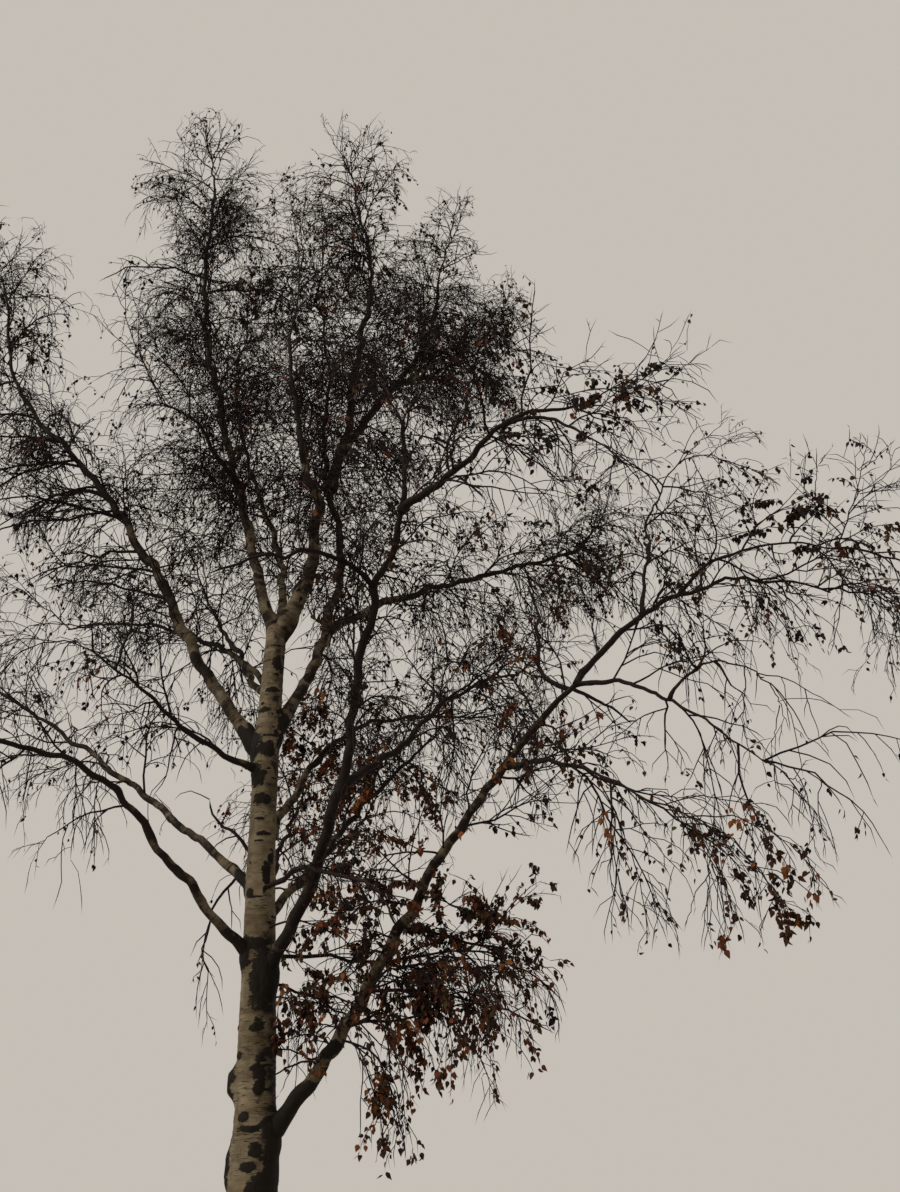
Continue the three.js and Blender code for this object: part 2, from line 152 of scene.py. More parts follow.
# Limbs: name, parent, share of the parent's way, length, radius at foot and tip, headings, rises, the
# share of its way where its side branches begin, and how full they are
limbRows = (
    ("stem_left", "trunk", 0.98, 9.1, 0.065, 0.037, (155, 163, 80), (74, 75, 89), 0.2, 2.6),
    ("stem_left_low", "stem_left", 0.28, 1.5, 0.039, 0.019, (-130, -130, -145), (40, 40, 0), 0.1, 2.8),
    ("stem_back", "trunk", 1, 6.4, 0.054, 0.033, (90, 126, 131), (57, 59, 73), 0.2, 2.7),
    ("stem_centre", "trunk", 0.99, 4, 0.095, 0.028, (15, -118, -100), (67, 58, 82), 0.25, 2.6),
    ("inner_bough", "trunk", 0.82, 6.7, 0.073, 0.037, (5, 70, 155, 30), (62, 74, 79, 86), 0.2, 2.0),
    ("peak_bough", "inner_bough", 0.64, 4.8, 0.066, 0.03, (-35, -65, -22, -250),
     (70, 70, 89, 75), 0.05, 2.7),
    ("shoulder_bough", "peak_bough", 0.12, 5.25, 0.06, 0.034, (53, 43, 54), (62, 59, 86), 0.05, 2.9),
    ("wide_shoulder", "shoulder_bough", 0.4, 2, 0.042, 0.024, (40, 25, 17), (36, 42, 38), 0.1, 3.3),
    ("front_bough", "trunk", 0.49, 6.2, 0.081, 0.027, (-36, -54, -72, -33, -120),
     (49, 53, 66, 63, 88), 0.45, 2.4),
    ("front_right", "front_bough", 0.83, 2.7, 0.044, 0.018, (-42, -55, -17), (7, 4, -58), 0.1, 1.8),
    ("front_right_top", "front_right", 0.6, 0.95, 0.024, 0.015, (-40, -20, -12), (9, -15, 21), 0.1, 2.6),
    ("mid_bough", "front_bough", 0.37, 3.25, 0.04, 0.024, (36, 47, 34), (36, 47, 16), 0.3, 1.6),
    ("right_bough", "inner_bough", 0.26, 5.25, 0.055, 0.036, (57, 33, 30), (43, 27, 29), 0.25, 2.7),
    ("low_right", "trunk", 0.3, 5.45, 0.08, 0.05, (-22, -35, -9), (46, 53, 42), 0.2, 1.1),
    ("far_right", "low_right", 1, 3.5, 0.045, 0.022, (-6, 13, 17), (56, 25, -14), 0.1, 1.1),
    ("far_right_top", "far_right", 0.47, 1.95, 0.032, 0.017, (-52, -46, -38), (34, -21, -30), 0.1, 1.2),
    ("upright_right", "far_right", 0.3, 2.85, 0.031, 0.018, (61, 61, 29), (67, 62, 61), 0.15, 1.3),
    ("drooping_right", "low_right", 1, 2.35, 0.034, 0.013, (-37, -42, -37), (-8, -44, -48), 0.1, 1.0),
    ("outer_right", "drooping_right", 0.5, 0.85, 0.023, 0.015, (-35, -64, -56), (61, -5, -29), 0.1, 1.2),
    ("hanging_bough", "low_right", 0.8, 2, 0.035, 0.017, (-51, -54, -50), (-9, -28, -42), 0.15, 1.2),
    ("leafy_bough", "low_right", 0.27, 0.5, 0.029, 0.02, (-60, -50, -45), (-12, 4, 8), 0.2, 1.4),
    ("back_right", "trunk", 0.57, 4.1, 0.047, 0.027, (54, 52, 38), (46, 48, 44), 0.25, 1.5),
    ("rear_bough", "trunk", 0.66, 5.85, 0.054, 0.03, (83, 67, 37), (50, 41, 10), 0.3, 1.3),
    ("rear_low", "trunk", 0.54, 4.25, 0.042, 0.026, (100, 86, 90), (50, 41, 37), 0.25, 1.4),
    ("rear_left", "trunk", 0.88, 4.95, 0.05, 0.03, (113, 117, 122), (38, 42, 49), 0.3, 1.5),
    ("low_left", "trunk", 0.52, 5, 0.056, 0.02, (-143, -134, -138, -155), (35, 46, -2, -28), 0.4, 0.7),
    ("second_left", "trunk", 0.61, 5.4, 0.053, 0.03, (153, 156, 161), (40, 38, 34), 0.35, 0.9),
    ("third_left", "trunk", 0.78, 2.45, 0.041, 0.015, (-142, -126, -128), (5, 20, 19), 0.2, 1.3),
    ("long_left", "trunk", 0.8, 8.6, 0.084, 0.033, (175, 171, 176, 171), (54, 63, 47, 85), 0.2, 1.7),
    ("crossing_left", "trunk", 0.9, 5.3, 0.04, 0.022, (132, 140, 151), (47, 30, 8), 0.2, 1.6),
)

# Masses: the limb that each grows from, its stem's length, headings and rises, the half sizes
# of its space, how far the space hangs below the stem's middle, how much its twigs droop, and
# how thickly it is leaved
massRows = (
    ("stem_left", 1.9, (145, 157, 189), (80, 79, 77), (0.7, 0.7, 1.05), 0, -0.5, 1.4),
    ("stem_left_low", 2.2, (-146, -179, -181), (56, 72, 65), (0.8, 0.8, 1.45), 0, -0.1, 1.4),
    ("stem_back", 3.5, (147, 55, 42), (82, 84, 87), (1, 1, 1.9), 0, -0.1, 1.8),
    ("stem_centre", 2.75, (11, 115, 169), (82, 88, 68), (0.9, 0.9, 1.7), 0, -0.2, 2.5),
    ("inner_bough", 4.7, (171, 79, 223), (76, 89, 79), (0.85, 0.85, 2.4), 0, -0.2, 2.5),
    ("peak_bough", 2.1, (-162, -181, -180), (76, 87, 86), (0.9, 0.9, 1.15), 0, -0.5, 2.5),
    ("shoulder_bough", 2.3, (43, 7, -6), (81, 71, 76), (0.95, 1, 1.25), 0, -0.3, 3),
    ("wide_shoulder", 1.7, (30, 15, 13), (44, 44, 32), (1.05, 1.1, 1.25), 0.15, 0.1, 4),
    ("front_bough", 2.1, (186, 134, -50), (62, 97, 69), (0.95, 1, 1.5), 0, 0, 3),
    ("front_right", 0.75, (-43, -36, -46), (-44, -57, -67), (0.52, 0.52, 0.56), 0.06, 0.6, 4),
    ("front_right_top", 1, (-26, -25, -37), (31, -25, -80), (0.85, 0.7, 0.65), 0, 0, 4),
    ("mid_bough", 1.65, (32, 27, 155), (39, 67, 82), (0.9, 0.9, 1.05), 0, 0.1, 2),
    ("right_bough", 1.6, (12, 23, 30), (45, 63, 70), (1.05, 1.1, 1.25), 0, 0.2, 5),
    ("far_right", 1.15, (9, 1, 60), (42, -35, -65), (0.78, 0.9, 0.9), 0.15, 0.5, 3),
    ("far_right_top", 0.9, (-14, -26, -12), (62, 66, 0), (0.78, 0.85, 0.85), 0, 0, 3),
    ("upright_right", 1.7, (21, 13, 16), (65, -7, -32), (1.05, 0.95, 0.8), 0, 0.2, 2),
    ("drooping_right", 0.65, (-26, -42, 18), (-27, -70, -80), (0.42, 0.46, 0.62), 0.06, 0.8, 2),
    ("outer_right", 1.15, (-43, -36, 5), (-20, -66, -73), (0.75, 0.8, 0.9), 0, 0.7, 2),
    ("hanging_bough", 1.75, (-35, -30, -31), (-21, -49, -76), (1, 0.85, 0.95), 0.06, 0.9, 6),
    ("leafy_bough", 1.7, (-50, -25, -10), (22, 8, -15), (1.25, 1.15, 1.2), 0.1, 0.8, 20),
    ("back_right", 2.3, (65, 60, 150), (73, 76, 80), (0.95, 1, 1.25), 0, 0.2, 3),
    ("rear_bough", 1.7, (28, 24, 10), (5, 19, 21), (1.2, 1.2, 1.15), 0.1, 0.6, 2),
    ("rear_low", 1.6, (84, 94, 96), (48, 30, 5), (1.2, 1.15, 1.2), 0.25, 0.7, 3),
    ("rear_left", 2.9, (138, 152, 170), (65, 64, 66), (1.1, 1.15, 1.6), 0, 0.2, 1),
    ("low_left", 1.3, (-155, -150, -140), (-20, -35, -60), (1.15, 1.05, 1.05), 0.1, 0.9, 1),
    ("second_left", 2.7, (161, 170, 171), (65, 49, 10), (1.25, 1.15, 1.3), 0.15, 0.5, 1),
    ("third_left", 1.3, (-126, -129, -140), (9, -39, -72), (0.95, 0.9, 0.95), 0, 0.7, 0.8),
    ("long_left", 1.65, (169, 180, 180), (72, 74, 55), (1.05, 1.05, 1.35), 0, 0, 2),
    ("crossing_left", 2, (159, 163, 163), (42, 41, 33), (1.15, 1.15, 1.3), 0, 0.4, 1),
)


def seeded(seed):
    state = seed
    while True:
        state = (state * 1664525 + 1013904223) % 4294967296
        yield state / 4294967296


def within(span, share):
    return span[0] + (span[1] - span[0]) * share


def walk(start, length, headings, rises, steps):
    share = (np.arange(steps) + 0.5) / steps * (len(headings) - 1)
    heading = np.radians(np.interp(share, np.arange(len(headings)), headings))
    rise = np.radians(np.interp(share, np.arange(len(rises)), rises))
    stride = np.stack([np.cos(rise) * np.cos(heading), np.cos(rise) * np.sin(heading), np.sin(rise)], 1)
    return np.vstack([start, start + np.cumsum(stride * (length / steps), 0)])


def legAt(path, share):
    # the leg of a path at a share of its way: its start, its span and how far along it that is
    place = min(max(share, 0), 1) * (len(path) - 1)
    low = min(int(place), len(path) - 2)
    return path[low], path[low + 1] - path[low], place - low


def placeAt(path, share):
    start, span, part = legAt(path, share)
    return start + span * part


def directionAt(path, share):
    span = legAt(path, share)[1]
    return span / np.linalg.norm(span)


def radiusAt(limb, share):
    return within((limb["foot"], limb["tip"]), share)


def squareTo(along, turn):
    # a side of each direction, turned about it: 0 points up, or along +X where that is too near
    upright = np.abs(along[..., 2:3]) > rule["nearlyUpright"]
    reference = np.where(upright, (1.0, 0, 0), (0, 0, 1.0))
    side = reference - along * (reference * along).sum(-1, keepdims=True)
    side /= np.linalg.norm(side, axis=-1, keepdims=True)
    turn = np.radians(turn)[..., None]
    return side * np.cos(turn) + np.cross(along, side) * np.sin(turn)


def trunkRadius(height):
    levels, radii = zip(*rule["trunkRadii"])
    return np.interp(height, levels, radii)


def trunkAxis(height):
    share = np.asarray(height, float) / rule["forkHeight"]
    sideways = rule["trunkLean"] * share + rule["trunkBow"] * np.sin(np.pi * share)
    sideways = sideways + rule["trunkSway"] * np.sin(2 * np.pi * share)
    return np.stack([sideways, sideways * 0, share * rule["forkHeight"]], -1)


def makeLimbs():
    fork = rule["forkHeight"]
    path = trunkAxis(np.linspace(0, fork, rule["walkSteps"] + 1))
    foot = float(trunkRadius(fork * rule["trunkClearance"]))
    grown = {"trunk": {"name": "trunk", "path": path, "bent": path, "length": fork, "foot": foot,
                       "tip": float(trunkRadius(fork)), "middle": placeAt(path, 0.5)}}
    for name, parent, at, length, foot, tip, headings, rises, first, fullness in limbRows:
        carrier = grown[parent]
        path = walk(placeAt(carrier["path"], at), length, headings, rises, rule["walkSteps"])
        thick = trunkRadius(at * fork) if parent == "trunk" else radiusAt(carrier, at)
        grown[name] = {"name": name, "path": path, "length": length, "foot": foot, "tip": tip,
                       "middle": placeAt(path, 0.5), "at": at, "parent": carrier,
                       "parentRadius": float(thick), "first": first, "fullness": fullness}
    return grown


def makeMasses(limbs):
    masses = []
    for seed, row in enumerate(massRows, 1):
        on, length, headings, rises, space, drop, droop, leaved = row
        bough = limbs[on]
        start = placeAt(bough["path"], 1) - directionAt(bough["path"], 1) * rule["stemSink"]
        path = walk(start, length, headings, rises, rule["stemSteps"])
        middle = placeAt(path, 0.5)
        masses.append({"name": on, "path": path, "length": length, "seed": seed, "middle": middle,
                       "centre": middle - (0, 0, drop), "space": np.array(space), "droop": droop,
                       "foot": bough["tip"] * rule["stemFit"], "tip": rule["stemTip"],
                       "leaved": leaved})
    return masses


def depthsIn(points):
    # how deep each point lies in each mass's space: nought in its middle, 1 at its edge
    centres = np.array([mass["centre"] for mass in masses])
    spaces = np.array([mass["space"] for mass in masses])
    return np.linalg.norm((points[:, None] - centres) / spaces, axis=2)


def inOwnSpace(mass, points):
    depths = depthsIn(points)
    index = mass["seed"] - 1
    own = depths[:, index].copy()
    depths[:, index] = np.inf
    return (own < 1) & (depths.min(1) > own + rule["spaceMargin"])


def distancesTo(path, points):
    start, span = path[:-1], path[1:] - path[:-1]
    offset = points[:, None] - start
    share = np.clip((offset * span).sum(2) / (span * span).sum(1), 0, 1)
    return np.linalg.norm(offset - share[..., None] * span, axis=2).min(1)


def fits(mass, twig, others, parent):
    count = math.ceil(round(twig["length"] / rule["testSpacing"], 9))
    points = np.array([placeAt(twig["path"], i / count) for i in range(1, count + 1)])
    if not inOwnSpace(mass, points).all():
        return False
    for other in others:
        clear = other["foot"] + twig["foot"] + rule["touchMargin"]
        away = np.linalg.norm(points - other["middle"], axis=1).min()
        if away >= other["length"] / 2 + clear:
            continue
        close = distancesTo(other["path"], points) < clear
        if other is parent:
            close &= np.linalg.norm(points - twig["path"][0], axis=1) >= rule["rootStretch"] * clear
        if close.any():
            return False
    return True


def shoot(parent, share, turn, lean, length, droop, joints, draw):
    along = directionAt(parent["path"], share)
    lean = math.radians(lean)
    direction = along * math.cos(lean) + squareTo(along, np.array(turn)) * math.sin(lean)
    path = [placeAt(parent["path"], share)]
    for _ in range(joints):
        nudge = np.array([next(draw), next(draw), next(draw)]) - 0.5
        direction = direction + nudge * rule["wander"] - (0, 0, droop / joints)
        direction = direction / np.linalg.norm(direction)
        path.append(path[-1] + direction * (length / joints))
    path = np.array(path)
    foot = max(radiusAt(parent, share) * rule["twigTaper"], rule["thinnest"])
    return {"path": path, "length": length, "foot": foot, "tip": 0, "middle": placeAt(path, 0.5)}


def growTwigs(mass, others):
    draw = seeded(mass["seed"])
    kept = []

    def keep(parent, place, turn, longest, lean, joints):
        for shorter, turned in rule["attempts"]:
            length = longest * shorter
            twig = shoot(parent, place, turn + turned, lean, length, mass["droop"], joints, draw)
            if length >= rule["shortestBranch"] and fits(mass, twig, others + kept, parent):
                kept.append(twig)
                return

    reach = min(rule["longestBranch"], float(np.linalg.norm(mass["space"])) * rule["branchReach"])
    for i in range(rule["branchesPerStem"]):
        place = within(rule["branchPlaces"], (i + 0.5) / rule["branchesPerStem"])
        turn = mass["seed"] * rule["seedTurn"] + rule["goldenTurn"] * i
        longest = reach * within(rule["branchLengths"], next(draw))
        lean = within(rule["branchLean"], next(draw))
        keep(mass, place, turn, longest, lean, rule["branchJoints"])
    branches = list(kept)
    for i in range(rule["twigsPerStem"]):
        if not branches:
            break
        branch = branches[i % len(branches)]
        place = within(rule["twigPlaces"], next(draw))
        turn = 360 * next(draw)
        longest = branch["length"] * within(rule["twigLengths"], next(draw))
        lean = within(rule["twigLean"], next(draw))
        keep(branch, place, turn, longest, lean, rule["twigJoints"])
    return kept


def checkAgainstFrame():
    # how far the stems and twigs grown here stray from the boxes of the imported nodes
    worst = 0
    for mass in masses:
        low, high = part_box("twigs_" + mass["name"])
        points = np.vstack([mass["path"]] + [twig["path"] for twig in mass["twigs"]])
        worst = max(worst, (low - Vector(points.min(0))).length, (Vector(points.max(0)) - high).length)
    print("rule regrown:", sum(len(mass["twigs"]) for mass in masses), "main twigs, stray from the frame's",
          "boxes at most", round(worst, 3), "m")


limbs = makeLimbs()
boughs = [limb for limb in limbs.values() if limb["name"] != "trunk"]
masses = makeMasses(limbs)
for mass in masses:
    mass["twigs"] = growTwigs(mass, list(limbs.values()) + masses)
checkAgainstFrame()


# Meshes from arrays of points and triangles
def addMesh(name, points, triangles, smooth=True):
    mesh = bpy.data.meshes.new(name)
    mesh.vertices.add(len(points))
    mesh.vertices.foreach_set("co", np.asarray(points, np.float32).ravel())
    mesh.loops.add(3 * len(triangles))
    mesh.loops.foreach_set("vertex_index", np.asarray(triangles, np.int32).ravel())
    mesh.polygons.add(len(triangles))
    mesh.polygons.foreach_set("loop_start", np.arange(len(triangles), dtype=np.int32) * 3)
    mesh.polygons.foreach_set("use_smooth", np.full(len(triangles), smooth))
    mesh.update(calc_edges=True)
    piece = bpy.data.objects.new(name, mesh)
    bpy.context.scene.collection.objects.link(piece)
    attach(piece, "root")
    return piece


def addValues(piece, name, kind, values):
    made = piece.data.attributes.new(name, kind, "POINT")
    made.data.foreach_set("vector" if kind == "FLOAT_VECTOR" else "value",
                          np.asarray(values, np.float32).ravel())


def unit(vectors):
    return vectors / np.linalg.norm(vectors, axis=-1, keepdims=True)


def alongPaths(paths, share):
    # the place and the direction at a share of the way of each path
    last = paths.shape[1] - 1
    place = np.clip(share, 0, 1) * last
    low = np.minimum(place.astype(int), last - 1)
    rows = np.arange(len(paths))
    start, end = paths[rows, low], paths[rows, low + 1]
    return start + (end - start) * (place - low)[:, None], unit(end - start)


def frames(paths):
    # two directions square to each path at each of its points, carried along without twist
    along = np.empty_like(paths)
    along[:, 1:-1] = paths[:, 2:] - paths[:, :-2]
    along[:, 0] = paths[:, 1] - paths[:, 0]
    along[:, -1] = paths[:, -1] - paths[:, -2]
    along = unit(along)
    side = np.empty_like(paths)
    side[:, 0] = squareTo(along[:, 0], np.zeros(len(paths)))
    for i in range(1, paths.shape[1]):
        carried = side[:, i - 1]
        side[:, i] = unit(carried - along[:, i] * (carried * along[:, i]).sum(1, keepdims=True))
    return side, np.cross(along, side)


def turnsRound(sides):
    return np.arange(sides) * 2 * np.pi / sides


def spokes(side, across, sides):
    # directions out from each point of a path, evenly round it
    turn = turnsRound(sides)[:, None]
    return side[..., None, :] * np.cos(turn) + across[..., None, :] * np.sin(turn)


def bandTriangles(rings, sides):
    # the skin between rings of points
    near = np.arange(sides)
    far = (near + 1) % sides
    faces = [np.empty((0, 3), int)]
    for low in range(0, (rings - 1) * sides, sides):
        faces.append(np.stack([low + near, low + far, low + sides + far], 1))
        faces.append(np.stack([low + near, low + sides + far, low + sides + near], 1))
    return np.vstack(faces)


def copies(faces, count, size):
    # the triangles of many shapes that are alike, each with so many points
    return (faces[None] + (np.arange(count) * size)[:, None, None]).reshape(-1, 3)


def joined(parts):
    # the points and triangles of several parts, as those of one
    points, triangles, count = [], [], 0
    for places, faces in parts:
        points.append(places)
        triangles.append(faces + count)
        count += len(places)
    return np.vstack(points), np.vstack(triangles)


def bars(paths, radii, sides):
    # pointed bars round many paths at once, open at the foot that sits in the wood
    count, rings = len(paths), paths.shape[1] - 1
    side, across = frames(paths)
    spoke = spokes(side[:, :-1], across[:, :-1], sides)
    points = paths[:, :-1, None] + spoke * radii[:, :-1, None, None]
    points = np.concatenate([points.reshape(count, -1, 3), paths[:, -1:]], 1)
    near = np.arange(sides)
    low = (rings - 1) * sides
    tip = np.stack([low + near, low + (near + 1) % sides, np.full(sides, low + sides)], 1)
    faces = np.vstack([bandTriangles(rings, sides), tip])
    return points.reshape(-1, 3), copies(faces, count, points.shape[1])


def bumps(places, size, seed):
    # smooth random values from -1 to 1, with one lattice cell to a size
    cells = np.asarray(places, float) / size
    low = np.floor(cells).astype(np.int64)
    part = cells - low
    part = part * part * (3 - 2 * part)
    total = np.zeros(len(cells))
    for corner in range(8):
        step = np.array([corner & 1, corner >> 1 & 1, corner >> 2 & 1])
        at = (low + step) * np.array([73856093, 19349663, 83492791])
        mixed = (at[:, 0] ^ at[:, 1] ^ at[:, 2] ^ (seed * 40503)) & 0xFFFFFFFF
        mixed = ((mixed ^ (mixed >> 13)) * 1274126177) & 0xFFFFFFFF
        value = ((mixed ^ (mixed >> 16)) & 0xFFFF) / 32767.5 - 1
        total += value * np.where(step, part, 1 - part).prod(1)
    return total


def ridges(places, size, seed):
    return 1 - 2 * np.abs(bumps(places, size, seed))


def layered(place, layers, shape=bumps):
    # layers of noise: the squeeze along the limb, size, seed and weight of each
    return sum(shape(place * (1, 1, squeeze), size, seed) * weight
               for squeeze, size, seed, weight in layers)


# The finishes. Shared effects are node groups, and each material keeps its own shader
def newGroup(name, inputs):
    group = bpy.data.node_groups.new(name, "ShaderNodeTree")
    for label, kind, value in inputs:
        socket = group.interface.new_socket(label, in_out="INPUT", socket_type="NodeSocket" + kind)
        if value is not None:
            socket.default_value = value
    for label, kind in (("Colour", "Color"), ("Roughness", "Float"), ("Height", "Float")):
        group.interface.new_socket(label, in_out="OUTPUT", socket_type="NodeSocket" + kind)
    return group, group.nodes.new("NodeGroupInput").outputs, group.nodes.new("NodeGroupOutput")


def putOut(group, made, *results):
    for value, socket in zip(results, made.inputs):
        group.links.new(value, socket)
    return group


def setInputs(tree, node, inputs):
    # sockets by name, or by in and a number where several share a name
    for key, value in inputs.items():
        socket = node.inputs[int(key[2:]) if key[2:].isdigit() else key]
        if isinstance(value, bpy.types.NodeSocket):
            tree.links.new(value, socket)
        else:
            socket.default_value = value
    return node


def addNode(tree, kind, settings=None, **inputs):
    node = tree.nodes.new("ShaderNode" + kind)
    for key, value in (settings or {}).items():
        setattr(node, key, value)
    return setInputs(tree, node, inputs)


def rampBetween(tree, value, low, high):
    # 0 below low, 1 above high
    return addNode(tree, "MapRange", in0=value, in1=low, in2=high).outputs[0]


def mixColours(tree, share, first, second):
    return addNode(tree, "Mix", {"data_type": "RGBA"}, in0=share, in6=first, in7=second).outputs[2]


def plus(tree, first, second):
    return addNode(tree, "Math", {"operation": "ADD"}, in0=first, in1=second).outputs[0]


def times(tree, first, second):
    return addNode(tree, "Math", {"operation": "MULTIPLY"}, in0=first, in1=second).outputs[0]


def stretchedNoise(tree, place, stretch, scale, detail, roughness):
    mapped = addNode(tree, "VectorMath", {"operation": "MULTIPLY"}, in0=place, in1=(1, 1, stretch))
    return addNode(tree, "TexNoise", Vector=mapped.outputs[0], Scale=scale, Detail=detail,
                   Roughness=roughness).outputs[0]


birchNoise = {
    # stretch along the limb, scale, detail and roughness, and where the pattern begins and is full
    "patterns": {
        "bands": (4.5, 1.9, 4.0, 0.62, 0.44, 0.66),
        "mottle": (1.6, 5.5, 5.0, 0.62, 0.43, 0.66),
        "stains": (0.55, 2.6, 5.0, 0.65, 0.50, 0.66),
        "dashes": (13, 9.0, 2.0, 0.55, 0.58, 0.64),
        "where": (2, 3.1, 2.0, 0.55, 0.38, 0.56),
        "fine": (0.35, 38.0, 4.0, 0.7, 0.42, 0.66),
    },
    "streaks": (4.5, 15.0, 4.0, 0.7),
    "tanned": 0.70,             # how strong the mottle, the stains and the lenticels are
    "stained": 0.75,
    "marked": 0.9,
    "paleEdge": (1.3, 0.30, 0.62),        # how blotched the pale skin's edge is, and from and to where
    "tornEdge": (0.6, 0.9, 0.40, 0.58),   # the same for the dark bark, with its streaks
    "rough": (0.25, 0.62),
    "heights": (0.25, -0.5, 0.35),        # of the bands, the lenticels and the fine grain
}


def birchSkinGroup():
    # peeling pale bark with cross bands, lenticels and stains, over dark cracked bark
    group, given, made = newGroup("birchSkin", [
        ("Place", "Vector", None), ("Dark", "Float", 0.0), ("Pale", "Float", 1.0),
        ("Cream", "Color", (0.215, 0.172, 0.110, 1)), ("Tan", "Color", (0.118, 0.085, 0.048, 1)),
        ("Stain", "Color", (0.055, 0.043, 0.020, 1)), ("Cork", "Color", (0.010, 0.008, 0.005, 1)),
        ("Young", "Color", (0.016, 0.010, 0.008, 1)), ("Marks", "Float", 1.0)])
    place, dark, pale, cream, tan, stain, cork, young, marks = given[:9]
    noise, ramp = {}, {}
    for name, (*settings, low, high) in birchNoise["patterns"].items():
        noise[name] = stretchedNoise(group, place, *settings)
        ramp[name] = rampBetween(group, noise[name], low, high)
    fine = noise["fine"]
    blotches = plus(group, noise["mottle"], -0.5)
    streaks = plus(group, stretchedNoise(group, place, *birchNoise["streaks"]), -0.5)
    lenticels = times(group, times(group, ramp["dashes"], ramp["where"]), marks)
    skin = mixColours(group, ramp["bands"], cream, tan)
    skin = mixColours(group, times(group, ramp["mottle"], birchNoise["tanned"]), skin, tan)
    skin = mixColours(group, times(group, ramp["stains"], birchNoise["stained"]), skin, stain)
    skin = mixColours(group, times(group, lenticels, birchNoise["marked"]), skin, cork)
    # the pale skin gives way to young brown bark in blotches
    blotched, low, high = birchNoise["paleEdge"]
    edge = plus(group, pale, times(group, blotches, blotched))
    skin = mixColours(group, rampBetween(group, edge, low, high), young, skin)
    blotched, streaked, low, high = birchNoise["tornEdge"]
    torn = plus(group, dark, times(group, blotches, blotched))
    covered = rampBetween(group, plus(group, torn, times(group, streaks, streaked)), low, high)
    colour = mixColours(group, covered, skin, mixColours(group, ramp["fine"], cork, young))
    swing, mean = birchNoise["rough"]
    banded, pitted, grained = birchNoise["heights"]
    height = plus(group, times(group, ramp["bands"], banded), times(group, lenticels, pitted))
    height = plus(group, height, times(group, fine, grained))
    height = plus(group, height, times(group, covered, fine))
    return putOut(group, made, colour, plus(group, times(group, noise["mottle"], swing), mean), height)


def grainGroup():
    # a soft random change from one colour to another, with a fine grain
    group, given, made = newGroup("softGrain", [
        ("Place", "Vector", None), ("Scale", "Float", 3.0), ("First", "Color", (0, 0, 0, 1)),
        ("Second", "Color", (0, 0, 0, 1))])
    place, scale, first, second = given[:4]
    wide = addNode(group, "TexNoise", Vector=place, Scale=scale, Detail=3.0).outputs[0]
    fine = addNode(group, "TexNoise", Vector=place, Scale=90.0, Detail=2.0).outputs[0]
    colour = mixColours(group, rampBetween(group, wide, 0.36, 0.64), first, second)
    return putOut(group, made, colour, plus(group, times(group, fine, 0.3), 0.55), fine)


def newMaterial(name):
    material = bpy.data.materials.new(name)
    material.use_nodes = True
    shader = material.node_tree.nodes["Principled BSDF"]
    shader.inputs["Specular IOR Level"].default_value = 0.12
    return material, material.node_tree, shader


def useGroup(tree, group, **values):
    node = tree.nodes.new("ShaderNodeGroup")
    node.node_tree = group
    return setInputs(tree, node, values)


def finishWith(tree, shader, node, strength, distance):
    bump = addNode(tree, "Bump", Strength=strength, Distance=distance, Height=node.outputs["Height"])
    tree.links.new(node.outputs["Roughness"], shader.inputs["Roughness"])
    tree.links.new(bump.outputs[0], shader.inputs["Normal"])


def barkMaterial(name, values):
    material, tree, shader = newMaterial(name)
    place = addNode(tree, "Attribute", {"attribute_name": "unbent"}).outputs["Vector"]
    dark, pale = (addNode(tree, "Attribute", {"attribute_name": key}).outputs["Fac"]
                  for key in ("dark", "pale"))
    skin = useGroup(tree, birchSkin, Place=place, Dark=dark, Pale=pale, **values)
    tree.links.new(skin.outputs["Colour"], shader.inputs["Base Color"])
    finishWith(tree, shader, skin, 0.6, 0.006)
    return material


def twigMaterial(name, first, second):
    material, tree, shader = newMaterial(name)
    place = addNode(tree, "TexCoord").outputs["Object"]
    grain = useGroup(tree, softGrain, Place=place, Scale=1.7, First=first, Second=second)
    tree.links.new(grain.outputs["Colour"], shader.inputs["Base Color"])
    finishWith(tree, shader, grain, 0.3, 0.001)
    return material


def leafMaterial(name, colour):
    # the tint is plain, and only the gloss and the surface vary
    material, tree, shader = newMaterial(name)
    shader.inputs["Base Color"].default_value = colour
    place = addNode(tree, "TexCoord").outputs["Object"]
    grain = useGroup(tree, softGrain, Place=place, Scale=24.0)
    finishWith(tree, shader, grain, 0.4, 0.002)
    return material


birchSkin = birchSkinGroup()
softGrain = grainGroup()
trunkFinish = barkMaterial("trunkBark", {"Marks": 1.0})
boughFinish = barkMaterial("boughBark", {
    "Cream": (0.190, 0.150, 0.096, 1), "Tan": (0.090, 0.062, 0.036, 1), "Marks": 0.8})
twigFinish = twigMaterial("twigBark", (0.011, 0.006, 0.006, 1), (0.018, 0.009, 0.008, 1))
print("finishes made")


